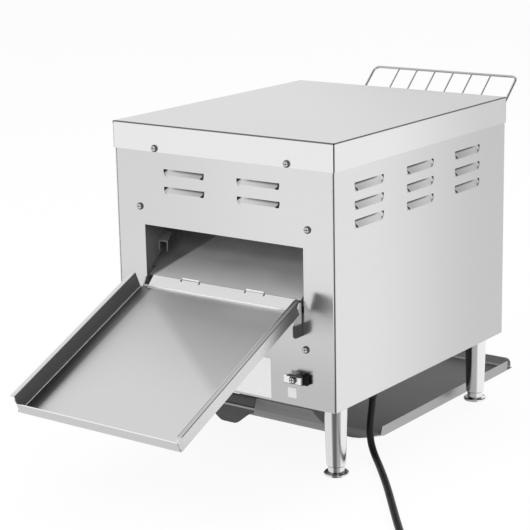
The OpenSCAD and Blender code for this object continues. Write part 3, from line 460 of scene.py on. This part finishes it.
end_steel = satin_steel("end_wall_steel", SHEET_TONE * 1.06, LEVEL_GRAIN, 0.22)
rear_louvres = end_steel.band("Z", 0.358, 0.405) * end_steel.band("X", -0.11, 0.11) * end_steel.band("Y", 0.1, 0.3)
# Painted shade: the end walls darken towards the left wall, towards the counter, and at each louvre.
end_steel.shaded(
    0.09 * end_steel.rise(end_steel.part("X"), -0.12, 0.12),
    0.30 * end_steel.rise(end_steel.part("Z"), 0.27, 0.12),
    louvre_shade(end_steel, across=("X", 0.0625, 0.0625), rows=(0.369, 0.01225), field=rear_louvres, near=-1,
                 thick=0.0044, curl=(-0.0022, 0.0055), slit_dark=0.42, face=0.36, steep=0.85, lip=-0.0040))
dress(end_steel, "rear_panel", "front_panel")

# Painted light on the side walls: painted shade darkens them towards the front and at the right wall's rear seam,
# and the left wall's hems at its two ends are painted pale inside, a painted highlight.
side_steel = satin_steel("side_wall_steel", SHEET_TONE * 1.12, LEVEL_GRAIN)
side_x, side_y = side_steel.part("X"), side_steel.part("Y")
side_louvres = side_steel.band("Z", 0.336, 0.405) * side_steel.band("Y", -0.155, 0.181)
side_steel.shaded(
    0.27 * side_steel.rise(side_y, 0.19, -0.20),
    0.85 * side_steel.rise(side_y, WALL_END - 0.0010, WALL_END - 0.0006) * side_steel.rise(side_x, 0.1, 0.0),
    louvre_shade(side_steel, across=("Y", 0.013, 0.064), rows=(0.3706, 0.0123), field=side_louvres, near=1,
                 thick=0.0034, curl=(-0.0070, 0.0045), slit_dark=0.62, face=0.34, steep=1.5, lip=-0.0200))
hem_highlight = (side_steel.rise(abs(side_x), WALL_SIDE - 0.0006, WALL_SIDE - 0.0008) * side_steel.rise(side_x, 0.0, 0.1)
       * side_steel.rise(abs(side_y), WALL_END - 0.0045, WALL_END - 0.0035))
side_steel.shaded(hem_highlight, to=grey(0.95))
side_steel.vary(Metallic=1.0 - 0.9 * hem_highlight)
dress(side_steel, "left_panel", "right_panel")

lid_steel = satin_steel("lid_steel", 0.86, (1400, 14, 1400))
lid_x, lid_y, lid_z = (lid_steel.part(axis) for axis in "XYZ")
lid_top = lid_steel.rise(lid_z, LID_TOP - 0.0010, LID_TOP - 0.0002)
past_side = lid_steel.rise(abs(lid_x), LID_SIDE - 0.0020, LID_SIDE - 0.0016)
past_end = lid_steel.rise(abs(lid_y), LID_END - 0.0024, LID_END - 0.0018)
top_bends = (lid_steel.rise(lid_z, LID_TOP - 0.0020, LID_TOP - 0.0016)
             * lid_steel.rise(0.55 * past_side + 0.75 * past_end, 0.0, 1.0))
corner_slits = (lid_steel.rise(abs(lid_x), WALL_SIDE, WALL_SIDE + 0.0002)
                * lid_steel.rise(abs(lid_y), WALL_END, WALL_END + 0.0002)
                * lid_steel.rise(lid_z, LID_TOP - 0.0007, LID_TOP - 0.0011))
# Painted shade: the top is darker than the rims, most towards the right front corner; the side rims darken towards the
# front; the top bends and the corner slits are painted dark.
lid_steel.shaded(
    lid_top * (0.235 + 0.14 * lid_steel.rise(lid_x + lid_y, 0.05, -0.38)),
    0.25 * (1 - lid_top) * lid_steel.rise(lid_y, 0.14, -0.19),
    top_bends,
    0.85 * corner_slits)
dress(lid_steel, "lid")


# ---- screws and bonding terminal ----
# Nickelled pan-head screws, with painted shade on their round sides and in their slots, and a bent plate held off
# the rear wall by a post with a clamp screw.
def facing_along(nodes, axis):
    """How far the surface faces along an axis: 0 where it lies along it, 1 where it looks down it."""
    facing = nodes.add("ShaderNodeTexCoord", out="Normal")
    return abs(nodes.add("ShaderNodeSeparateXYZ", None, facing, out=axis))


def dull_head(nodes, below_top, slot_from, slot_to):
    """Painted shade on a screw head: 1 on its round side and down in its slot between those depths, 0 on its flat top.
    """
    return nodes.rise(nodes.rise(facing_along(nodes, "Y"), 0.96, 0.84)
                      + nodes.rise(below_top, slot_from, slot_to), 0.0, 1.0)


# The lid's screws stand further out than the walls' by the thickness of the rim.
SCREW_TOP = 0.2264
RIM_THICK = 0.0015
screw_steel = satin_steel("screw_steel", 0.80, (300, 300, 300), 0.20)
on_rim = screw_steel.rise(screw_steel.part("Z"), 0.41, 0.42)
screw_shade = dull_head(screw_steel, SCREW_TOP + RIM_THICK * on_rim - abs(screw_steel.part("Y")), 0.0002, 0.0004)
screw_steel.shaded(0.96 * screw_shade)
screw_steel.vary(Metallic=1.0 - screw_shade)
dress(screw_steel, "casing_screws")

PLATE_BACK = 0.2314
PLATE_LOW, PLATE_HIGH = 0.1334, 0.1451
PLATE_END = -0.1343
CLAMP_FROM, CLAMP_TOP = 0.2331, 0.2367
terminal = satin_steel("terminal_steel", 0.86, (300, 300, 300), 0.24)
terminal_y, terminal_z = terminal.part("Y"), terminal.part("Z")
clamp_head = terminal.rise(terminal_y, CLAMP_FROM, CLAMP_FROM + 0.0004)
clamp_shade = 0.95 * clamp_head * dull_head(terminal, CLAMP_TOP - terminal_y, 0.0002, 0.0005)
# Painted shade on the post behind the plate, on the plate's top and bottom edges and its end by the block, and on the
# clamp screw's head.
terminal.shaded(0.85 * terminal.rise(terminal_y, PLATE_BACK, PLATE_BACK - 0.0004),
                0.86 * terminal.rise(terminal_z, PLATE_HIGH - 0.0005, PLATE_HIGH),
                0.86 * terminal.rise(terminal_z, PLATE_LOW + 0.0003, PLATE_LOW),
                0.80 * terminal.rise(terminal.part("X"), PLATE_END + 0.0005, PLATE_END),
                0.05 * clamp_head, clamp_shade)
terminal.vary(Metallic=1.0 - clamp_shade)
dress(terminal, "earth_terminal")

# A black moulded block with chamfered edges stands between the plate's end and the wall; it is partly a real
# block and partly a dark piece put in place of the shade there.
BLOCK_MIDDLE = np.array([-0.1378, 0.2275, 0.1392])
BLOCK_HALF = np.array([0.0043, 0.0040, 0.0062])
BLOCK_CHAMFER = 0.0012
block_corners = np.array([(1, 1), (-1, 1), (-1, -1), (1, -1)])
block_rings = []
for inset, depth in ((BLOCK_CHAMFER, -BLOCK_HALF[1]), (0, BLOCK_CHAMFER - BLOCK_HALF[1]),
                     (0, BLOCK_HALF[1] - BLOCK_CHAMFER), (BLOCK_CHAMFER, BLOCK_HALF[1])):
    block_rings.append(np.insert(block_corners * (BLOCK_HALF[[0, 2]] - inset), 1, depth, 1) + BLOCK_MIDDLE)
block_plastic = finish("terminal_block_plastic", Roughness=0.60, Specular_IOR_Level=0.1)
block_plastic.vary(Base_Color=block_plastic.mixed(grey(0.006), grey(0.014), block_plastic.noise((900, 900, 900), 3)))
add_piece("terminal_backing", grid_mesh("terminal_backing", np.array(block_rings), False, True, smooth=False),
          block_plastic, "casing")


# ---- rating plate and inspection label ----
# Two thin labels stuck low on the rear wall: a white foil plate and a small paper one, both bare.
LABEL_THICK = 0.0003


def label(name, middle, size, corner, nodes):
    """A thin sheet flat on the rear wall: each corner of its outline is a quarter circle about its own middle."""
    turn = np.radians(np.arange(0, 360, 6) + 3)
    outline = np.stack([
        middle[0] + np.sign(np.cos(turn)) * (size[0] / 2 - corner) + corner * np.cos(turn),
        middle[1] + np.sign(np.sin(turn)) * (size[1] / 2 - corner) + corner * np.sin(turn)], -1)
    rings = np.array([np.insert(outline, 1, depth, 1) for depth in (WALL_END, WALL_END + LABEL_THICK)])
    return add_piece(name, grid_mesh(name, rings, False, True, smooth=False), nodes, "casing")


foil = finish("label_foil", Roughness=0.38, Metallic=0.75)
foil.vary(Base_Color=foil.mixed(grey(0.90), grey(0.96), foil.noise((30, 30, 30), 3)))
label("rating_plate", (-0.0335, 0.131), (0.090, 0.056), 0.002, foil)
paper = finish("label_paper", Roughness=0.50, Metallic=0.60)
paper.vary(Base_Color=paper.mixed(grey(0.93), grey(0.98), paper.noise((90, 90, 90), 3)))
label("inspection_label", (-0.113, 0.117), (0.014, 0.014), 0.001, paper)


# ---- legs and feet ----
# Turned stainless legs, polished on the lathe, each with a foot that screws into its lower end. Upright bands of
# painted reflection, light and dark, go twice round each leg and foot, set by the turn about the leg's axis.
LEG_X, LEG_Y = 0.1585, 0.188
REFLECTIONS_FROM = np.radians(35)
REAR_REFLECTIONS = ((0.00, 0.30), (0.04, 0.20), (0.09, 0.74), (0.36, 0.74), (0.40, 0.20), (0.45, 0.12), (0.50, 0.14),
              (0.53, 0.36), (0.62, 0.42), (0.65, 0.84), (0.95, 0.84), (1.00, 0.30))
FRONT_REFLECTIONS = ((0.00, 0.35), (0.06, 0.30), (0.10, 0.17), (0.25, 0.18), (0.29, 0.38), (0.51, 0.42), (0.56, 0.86),
               (0.96, 0.86), (1.00, 0.45))
for end, leg_y, tones in (("rear", LEG_Y, REAR_REFLECTIONS), ("front", -LEG_Y, FRONT_REFLECTIONS)):
    lathe = satin_steel(f"leg_steel_{end}", 0.78, (20, 20, 2600), 0.20)
    turned_to = lathe.add("ShaderNodeMath", {"operation": "ARCTAN2"}, lathe.part("Y") - leg_y,
                          lathe.wrapped(lathe.part("X") - LEG_X, LEG_X))
    round_leg = lathe.add("ShaderNodeMath", {"operation": "FRACT"}, (turned_to - REFLECTIONS_FROM) * (1 / np.pi) + 2)
    reflection_bands = lathe.add("ShaderNodeValToRGB", {"stops": [(at, grey(tone)) for at, tone in tones]}, round_leg)
    lathe.shaded(1.0, to=reflection_bands)
    dress(lathe, *(f"{piece}_{end}_{side}" for piece in ("leg", "foot") for side in ("left", "right")))


# ---- inner frame ----
# Duller sheet: the two inner frames, the reflectors, the slide behind the belt, and the floor plate. Painted shade
# darkens the frames towards the rear opening and the slide's lower part, and the opening's edge throws a slanting
# painted shade on the slide.
inner = satin_steel("inner_sheet", 0.42, (14, 14, 900), 0.34)
in_opening = inner.rise(inner.part("Y"), 0.10, 0.16)
inner.shaded(0.35 * in_opening)
inner.vary(Metallic=1.0 - 0.4 * in_opening)
dress(inner, "left_frame", "right_frame")
SHADE_SLOPE, SHADE_AT = 1.253, 0.072
slide_steel = satin_steel("slide_steel", 0.80, (14, 900, 900), 0.46)
down_slide = slide_steel.part("Y")
slide_steel.vary(Metallic=0.55 + 0.2 * slide_steel.noise((30, 30, 30)))
slide_steel.shaded(0.27 * slide_steel.rise(down_slide, 0.174, 0.190),
                   slide_steel.rise(slide_steel.part("X") * SHADE_SLOPE - down_slide + SHADE_AT, -0.004, 0.006)
                   * (0.52 + 0.24 * slide_steel.rise(down_slide, 0.165, 0.195)))
dress(slide_steel, "discharge_plate")
clip_steel = satin_steel("clip_steel", 0.44, (200, 200, 200), 0.4)
# Painted shade: the clip's faces that don't look to the front or rear are darker.
clip_steel.shaded(0.72 * clip_steel.rise(facing_along(clip_steel, "Y"), 0.75, 0.55))
clip_steel.vary(Metallic=0.5 + 0.2 * clip_steel.noise((60, 60, 60)))
dress(clip_steel, "wall_brackets")
dress(satin_steel("reflector_sheet", 0.66, (14, 900, 14), 0.26), "top_reflector", "lower_reflector")
dress(satin_steel("zinc_sheet", 0.60, (40, 40, 40), 0.42), "base_plate", "heat_shield")


# ---- heating tubes ----
# Frosted quartz tubes in white ceramic caps, three above the belt and three inside its loop. The wound
# wire inside each shows through the quartz as close dark bands.
quartz = finish("quartz", Roughness=0.28, Coat_Weight=0.4)
windings = quartz.add("ShaderNodeTexWave", {"wave_type": "BANDS", "bands_direction": "X"}, Scale=90.0,
                      Vector=quartz.place, Distortion=0.6, Detail=1.0)
quartz.vary(Base_Color=quartz.mixed((0.30, 0.27, 0.24, 1), (0.84, 0.82, 0.78, 1), windings))
dress(quartz, "upper_tubes", "lower_tubes")
ceramic = finish("ceramic", Roughness=0.30)
ceramic.vary(Base_Color=ceramic.mixed((0.80, 0.78, 0.72, 1), (0.90, 0.88, 0.83, 1), ceramic.noise((120, 120, 120), 3)),
             Normal=ceramic.bump(ceramic.noise((1500, 1500, 1500)), 0.00004))
dress(ceramic, "tube_caps")


# ---- belt, shafts and drive ----
# Bright bent wire strands, straw-tinted by the heat; turned shafts in bronze bushes; oiled wheels and chain.
belt_wire = satin_steel("belt_wire", 0.58, (200, 200, 200), 0.30)
belt_wire.shaded(0.5 * belt_wire.rise(belt_wire.noise((25, 25, 25), 2), 0.42, 0.62), to=(0.50, 0.40, 0.27, 1))
dress(belt_wire, "conveyor_belt")
shaft_steel = satin_steel("shaft_steel", 0.70, (1500, 20, 20), 0.2)
dress(shaft_steel, "drive_shaft", "idler_shaft", "motor_shaft", "speed_spindle", "heat_spindle")
oiled = satin_steel("oiled_steel", 0.36, (300, 300, 300), 0.3)
oiled.vary(Coat_Weight=0.3 * oiled.rise(oiled.noise((60, 60, 60), 3), 0.4, 0.6))
dress(oiled, "drive_sprockets", "idler_sprockets", "chain_wheel", "motor_pinion", "drive_chain")
bronze = finish("bronze", Metallic=1.0, Roughness=0.35)
bronze.vary(Base_Color=bronze.mixed((0.42, 0.27, 0.14, 1), (0.66, 0.46, 0.25, 1), bronze.noise((200, 200, 200), 4)))
dress(bronze, "shaft_bearings")
enamel = finish("motor_enamel", Roughness=0.40)
enamel.vary(Base_Color=enamel.mixed((0.09, 0.10, 0.11, 1), (0.14, 0.15, 0.16, 1), enamel.noise((50, 50, 50), 4)),
            Normal=enamel.bump(enamel.noise((700, 700, 700), 2), 0.00015))
dress(enamel, "gear_motor")


# ---- electrics and controls ----
# Moulded black plastic for fan, switches and knobs, whose pointers are white; a green board with dark
# parts; lenses of green and amber plastic in black bezels.
def moulded(name, colour, rough):
    """Plastic with the fine even texture of its mould and a little handling wear."""
    made = finish(name)
    fine = made.noise((1600, 1600, 1600), 2)
    worn = [min(1, c * 1.25 + 0.004) for c in colour[:3]] + [1]
    made.vary(Base_Color=made.mixed(colour, worn, made.noise((40, 40, 40), 3)),
              Roughness=rough - 0.05 + 0.12 * fine, Normal=made.bump(fine, 0.00006))
    return made


PLASTIC_BLACK = (0.022, 0.022, 0.024, 1)
POINTER_FACE = -0.2482
black_plastic = moulded("black_plastic", PLASTIC_BLACK, 0.45)
dress(black_plastic, "fan_frame", "fan_rotor", "speed_regulator", "heat_switch")
knob_plastic = moulded("knob_plastic", PLASTIC_BLACK, 0.38)
knob_plastic.shaded(knob_plastic.rise(knob_plastic.part("Y"), POINTER_FACE + 0.0003, POINTER_FACE),
                    to=(0.82, 0.82, 0.80, 1))
dress(knob_plastic, "speed_knob", "heat_knob")

# Printed scales round both dials: ticks and plain numbers in black enamel, as thick as a coat of paint.
FRONT_FACE = -WALL_END
PRINT_COAT = 0.00012
DIAL_X, DIAL_Z = 0.072, 0.190
TICK_FROM, TICK_TO, TICK_HALF = 0.0235, 0.0270, 0.00035
TICK_FACES = [[3, 2, 1, 0], [4, 5, 6, 7], *([i, (i + 1) % 4, 4 + (i + 1) % 4, 4 + i] for i in range(4))]
NUMBER_AT = 0.0325
NUMBER_HIGH = 0.0085
print_black = finish("scale_print", Roughness=0.5)
print_black.vary(Base_Color=print_black.mixed(grey(0.02), grey(0.05), print_black.noise((400, 400, 400), 3)))


def printed_number(number, middle_x, middle_z):
    """The corners and faces of a digit with its middle at that place on the front wall."""
    letters = bpy.data.curves.new(f"number_{number}", "FONT")
    letters.body = str(number)
    letters.size = NUMBER_HIGH
    letters.extrude = PRINT_COAT / 2
    letters.align_x = "CENTER"
    letters.align_y = "CENTER"
    letters.resolution_u = 4
    drawn = bpy.data.objects.new(f"number_{number}", letters)
    scene.collection.objects.link(drawn)
    mesh = bpy.data.meshes.new_from_object(drawn.evaluated_get(bpy.context.evaluated_depsgraph_get()))
    bpy.data.objects.remove(drawn)
    mesh.transform(Matrix.Translation((middle_x, FRONT_FACE - PRINT_COAT / 2, middle_z))
                   @ Matrix.Rotation(np.pi / 2, 4, "X"))
    corners = np.empty(len(mesh.vertices) * 3)
    mesh.vertices.foreach_get("co", corners)
    return corners.reshape(-1, 3), [list(face.vertices) for face in mesh.polygons]


def printed_tick(middle, turn):
    """The corners of a tick: a short bar that points out from the dial's middle, on the wall and a coat off it."""
    out, aside = np.array([np.sin(turn), np.cos(turn)]), np.array([np.cos(turn), -np.sin(turn)])
    flat = np.array([reach * out + half * aside for reach, half in
                     ((TICK_FROM, -TICK_HALF), (TICK_FROM, TICK_HALF), (TICK_TO, TICK_HALF), (TICK_TO, -TICK_HALF))])
    return np.concatenate([np.insert(flat + middle, 1, depth, 1) for depth in (FRONT_FACE, FRONT_FACE - PRINT_COAT)])


for scale_name, dial_x, span, count in (("speed_scale", DIAL_X, 270, 7), ("heat_scale", -DIAL_X, 180, 4)):
    middle = np.array((dial_x, DIAL_Z))
    places, faces = [], []
    held = 0
    for number, turn in enumerate(np.radians(np.linspace(0, span, count))):
        number_middle = middle + NUMBER_AT * np.array([np.sin(turn), np.cos(turn)])
        for corners, mark_faces in ((printed_tick(middle, turn), TICK_FACES), printed_number(number, *number_middle)):
            places.append(corners)
            faces += [[held + i for i in face] for face in mark_faces]
            held += len(corners)
    scale_mesh = bpy.data.meshes.new(scale_name)
    scale_mesh.from_pydata(np.concatenate(places), [], faces)
    add_piece(scale_name, scale_mesh, print_black, "casing")

BOARD_FACE = -0.1468
board = moulded("board_green", (0.03, 0.15, 0.07, 1), 0.35)
tracks = board.add("ShaderNodeTexVoronoi", {"distance": "MANHATTAN"}, Vector=board.place, Scale=160.0)
board.shaded(0.6 * board.rise(tracks, 0.42, 0.46), to=(0.05, 0.26, 0.12, 1))
board.shaded(board.rise(board.part("X"), BOARD_FACE, BOARD_FACE - 0.0003), to=(0.03, 0.03, 0.035, 1))
dress(board, "speed_controller")
dress(moulded("terminal_nylon", (0.72, 0.70, 0.62, 1), 0.5), "terminal_block")

LAMP_X, LAMP_Z, LENS_R = 0.018, 0.212, 0.0050
for lamp_name, tint, lamp_x in (("power_lamp", (0.03, 0.45, 0.10, 1), LAMP_X),
                                ("heat_lamp", (0.80, 0.30, 0.03, 1), -LAMP_X)):
    lens_plastic = finish(f"{lamp_name}_lens", Base_Color=tint, Roughness=0.12, Coat_Weight=0.5)
    past_x, past_z = lens_plastic.part("X") - lamp_x, lens_plastic.part("Z") - LAMP_Z
    lens_plastic.shaded(lens_plastic.rise(past_x * past_x + past_z * past_z, (LENS_R - 0.0001) ** 2, LENS_R ** 2))
    dress(lens_plastic, lamp_name)


# ---- feed rack ----
# Welded wire rack, bright chromed. Its two side wires hang over the infeed opening's sill and lean on the
# wall below, and bread slides down its rods onto the belt.
chrome = satin_steel("rack_chrome", 0.50, (60, 60, 60), 0.26)
dress(chrome, "feed_rack")


# ---- rear tray ----
# Satin stainless tray that hangs in the discharge opening by two side hooks, with a strip welded on above.
# Painted shade and painted reflections darken its left wall most, its floor in a diagonal, under the strip and beside
# the left wall, its end wall, the right wall's upper end and the lip; its left bend and end rim are painted pale lines,
# painted highlights.
TRAY_SLOPE = np.radians(24.4)
TRAY_INSIDE, TRAY_OUTSIDE, LIP_EDGE = 0.1350, 0.1360, 0.1431
TRAY_END = 0.3905
tray_steel = satin_steel("tray_steel", SHEET_TONE, (1400, 14, 14), 0.26)
across_tray, down_tray, tray_z = (tray_steel.part(axis) for axis in "XYZ")
down_slope = down_tray * np.cos(TRAY_SLOPE) - tray_z * np.sin(TRAY_SLOPE)
over_floor = down_tray * np.sin(TRAY_SLOPE) + tray_z * np.cos(TRAY_SLOPE)
tray_floor = tray_steel.rise(abs(across_tray), TRAY_INSIDE, TRAY_INSIDE - 0.0004)
left_wall = tray_steel.band("X", TRAY_INSIDE - 0.0001, TRAY_OUTSIDE + 0.0001, 0.0001)
left_bend = tray_steel.band("X", TRAY_INSIDE - 0.0013, TRAY_INSIDE - 0.0002, 0.0002)
right_wall = tray_steel.band("X", -TRAY_OUTSIDE - 0.0012, -TRAY_INSIDE + 0.0001, 0.0001)
lip_top = tray_steel.rise(across_tray, -TRAY_OUTSIDE - 0.0004, -TRAY_OUTSIDE - 0.0008)
lip_edges = (tray_steel.band("X", -TRAY_OUTSIDE - 0.0009, -TRAY_OUTSIDE - 0.0003, 0.0001)
             + tray_steel.band("X", -LIP_EDGE, -LIP_EDGE + 0.0005, 0.0001))
end_wall = tray_steel.rise(down_slope, TRAY_END, TRAY_END + 0.0020)
end_rim = end_wall * tray_steel.rise(over_floor, 0.3223, 0.3229)
tray_steel.shaded(
    tray_floor * (0.07 + 0.18 * tray_steel.rise(down_tray + 0.646 * across_tray, 0.330, 0.306)
                  * tray_steel.rise(down_tray, 0.245, 0.275)),
    0.17 * tray_floor * tray_steel.rise(down_tray, 0.285, 0.243) * tray_steel.rise(across_tray, -0.06, 0.02),
    tray_floor * (1 - end_wall)
    * (0.48 * tray_steel.rise(across_tray, 0.110, 0.117) + 0.18 * tray_steel.rise(across_tray, 0.117, 0.133)),
    0.10 * end_wall,
    0.85 * left_wall,
    0.84 * right_wall * tray_steel.rise(down_tray, 0.33, 0.25),
    lip_top * (0.26 + 0.26 * tray_steel.rise(down_tray, 0.40, 0.25)),
    0.85 * lip_edges)
tray_steel.shaded(left_bend, 0.9 * end_rim, to=grey(0.90))
tray_steel.vary(Roughness=0.26 + 0.26 * tray_floor * tray_steel.rise(down_tray, 0.46, 0.25) + 0.2 * left_wall,
                Metallic=1.0 - 0.6 * left_wall - 0.7 * left_bend)
dress(tray_steel, "rear_tray")

# Two tabs stand up from the strip's upper edge. That edge has a painted shadow, and the tabs are painted pale, a
# painted highlight.
RAMP_TOP = 0.2480
ramp_steel = satin_steel("ramp_steel", 0.76, (1400, 14, 14), 0.30)
ramp_z = ramp_steel.part("Z")
tabs = ramp_steel.rise(ramp_z, RAMP_TOP, RAMP_TOP + 0.0002)
ramp_steel.shaded(0.03, 0.62 * ramp_steel.rise(ramp_z, RAMP_TOP - 0.0007, RAMP_TOP - 0.0004) * (1 - tabs))
ramp_steel.shaded(0.95 * tabs, to=grey(0.97))
ramp_steel.vary(Metallic=1.0 - 0.85 * tabs)
dress(ramp_steel, "tray_ramp")

# The hooks are dark, and their upper parts are painted pale: a painted reflection of the wall behind them.
hook_steel = satin_steel("hook_steel", 0.10, (200, 200, 200), 0.4)
on_left_hook = hook_steel.rise(hook_steel.part("X"), -0.01, 0.01)
hook_steel.shaded(hook_steel.rise(hook_steel.part("Z"), 0.2160, 0.2175)
                  * hook_steel.rise(hook_steel.part("Y") + 0.02 * on_left_hook, 0.2262, 0.2272), to=grey(0.62))
dress(hook_steel, "tray_hooks")

# The ramp's lower edge is rolled into a bead, pale and half metallic so that it shows bright all round: a painted
# highlight.
BEAD_R = 0.0014
BEAD_FROM, BEAD_TO, BEAD_Y, BEAD_Z = -0.1212, 0.1265, 0.2373, 0.2347
BEAD_POINTS = 9
bead_line = np.stack([np.linspace(BEAD_FROM, BEAD_TO, BEAD_POINTS), np.full(BEAD_POINTS, BEAD_Y),
                      np.full(BEAD_POINTS, BEAD_Z)], -1)
bead_steel = satin_steel("bead_steel", 0.92, (1400, 14, 14), 0.30)
bead_steel.vary(Metallic=0.35 + 0.1 * bead_steel.noise((60, 60, 60)))
add_piece("ramp_bead", grid_mesh("ramp_bead", swept(bead_line, BEAD_R, CORD_SIDES), False, True),
          bead_steel, "rear_tray")


# ---- long tray ----
# Duller stainless tray that lies on the counter between the legs and sweeps up at the rear, with a tongue
# to draw it out. Painted shade darkens its floor, most towards the front, and its sweep and tongue, and its outer
# sides stay brighter; a dark and a pale line on the tongue's top bend and a pale line at the front bend are painted
# shade and painted highlights.
CATCH_INSIDE = 0.1298
CATCH_FRONT = -0.3555
TONGUE_FROM = 0.2092
catch_steel = satin_steel("long_tray_steel", 0.50, (1400, 14, 14), 0.38)
catch_steel.vary(Specular_Tint=grey(0.45), Specular_IOR_Level=0.15)
along_catch = catch_steel.part("Y")
catch_floor = catch_steel.rise(abs(catch_steel.part("X")), CATCH_INSIDE, CATCH_INSIDE - 0.0004)
front_wall = catch_steel.rise(along_catch, CATCH_FRONT, CATCH_FRONT - 0.0005)
front_rim = catch_floor * catch_steel.band("Y", CATCH_FRONT - 0.0003, CATCH_FRONT + 0.0025, 0.0004)
sweep = catch_steel.rise(along_catch, 0.03, 0.09)
on_tongue = catch_steel.rise(along_catch, TONGUE_FROM, TONGUE_FROM + 0.0006)
catch_steel.shaded((0.58 + 0.13 * catch_steel.rise(along_catch, -0.02, -0.24))
                   * catch_floor * (1 - 0.55 * front_wall) * (1 - sweep),
                   sweep * (0.64 + 0.28 * catch_steel.rise(along_catch, 0.15, 0.10)),
                   0.5 * on_tongue,
                   0.75 * on_tongue * catch_steel.band("Z", 0.0792, 0.0802, 0.0004))
catch_steel.shaded(0.45 * on_tongue * catch_steel.band("Z", 0.0764, 0.0782, 0.0004), to=grey(0.8))
catch_steel.shaded(0.9 * front_rim, to=grey(0.9))
catch_steel.vary(Metallic=1.0 - 0.8 * sweep - 0.35 * catch_floor * (1 - sweep))
dress(catch_steel, "catch_tray")

# The tongue is one bent sheet. Its line, as (y, z), is a running mean of straight pieces between these
# corners, and its lower edge swings up in an S towards both sides.
TONGUE_LINE = np.array([(204.7, 90.6), (209.1, 91.4), (214.7, 74.0), (217.5, 63.0), (217.5, 53.0)]) / 1000
TONGUE_HALF = 0.041
TONGUE_LOW = 0.053
TONGUE_SWING = 0.0185
TONGUE_FLAT = 0.009
TONGUE_SHEET = 0.0014
PAST_BEND = 0.010
LINE_POINTS, MEAN_OF = 160, 9
TONGUE_COLUMNS, TONGUE_ROWS = 81, 44
run = np.concatenate([[0], np.cumsum(np.linalg.norm(np.diff(TONGUE_LINE, axis=0), axis=1))])
fine = np.linspace(0, run[-1], LINE_POINTS)
line = np.stack([np.interp(fine, run, TONGUE_LINE[:, i]) for i in (0, 1)], -1)
longer_line = np.pad(line, ((MEAN_OF // 2, MEAN_OF // 2), (0, 0)), mode="reflect", reflect_type="odd")
line = np.stack([np.convolve(longer_line[:, i], np.ones(MEAN_OF) / MEAN_OF, "valid") for i in (0, 1)], -1)
across_tongue = np.linspace(-TONGUE_HALF, TONGUE_HALF, TONGUE_COLUMNS)
lower_edge = TONGUE_LOW + TONGUE_SWING * eased(np.abs(across_tongue), TONGUE_FLAT, TONGUE_HALF)
falling = fine > PAST_BEND
reach = np.interp(-lower_edge, -line[falling, 1], fine[falling])
steps = reach[:, None] * np.linspace(0, 1, TONGUE_ROWS)[None, :]
sheet_points = np.stack([np.repeat(across_tongue[:, None], TONGUE_ROWS, 1),
                         np.interp(steps, fine, line[:, 0]), np.interp(steps, fine, line[:, 1])], -1)
tongue = add_piece("drawn_tongue", grid_mesh("drawn_tongue", sheet_points, False, False),
                   catch_steel, "catch_tray")
thickened = tongue.modifiers.new("sheet", "SOLIDIFY")
thickened.thickness = TONGUE_SHEET
thickened.offset = 0.0
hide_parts("catch_handle")
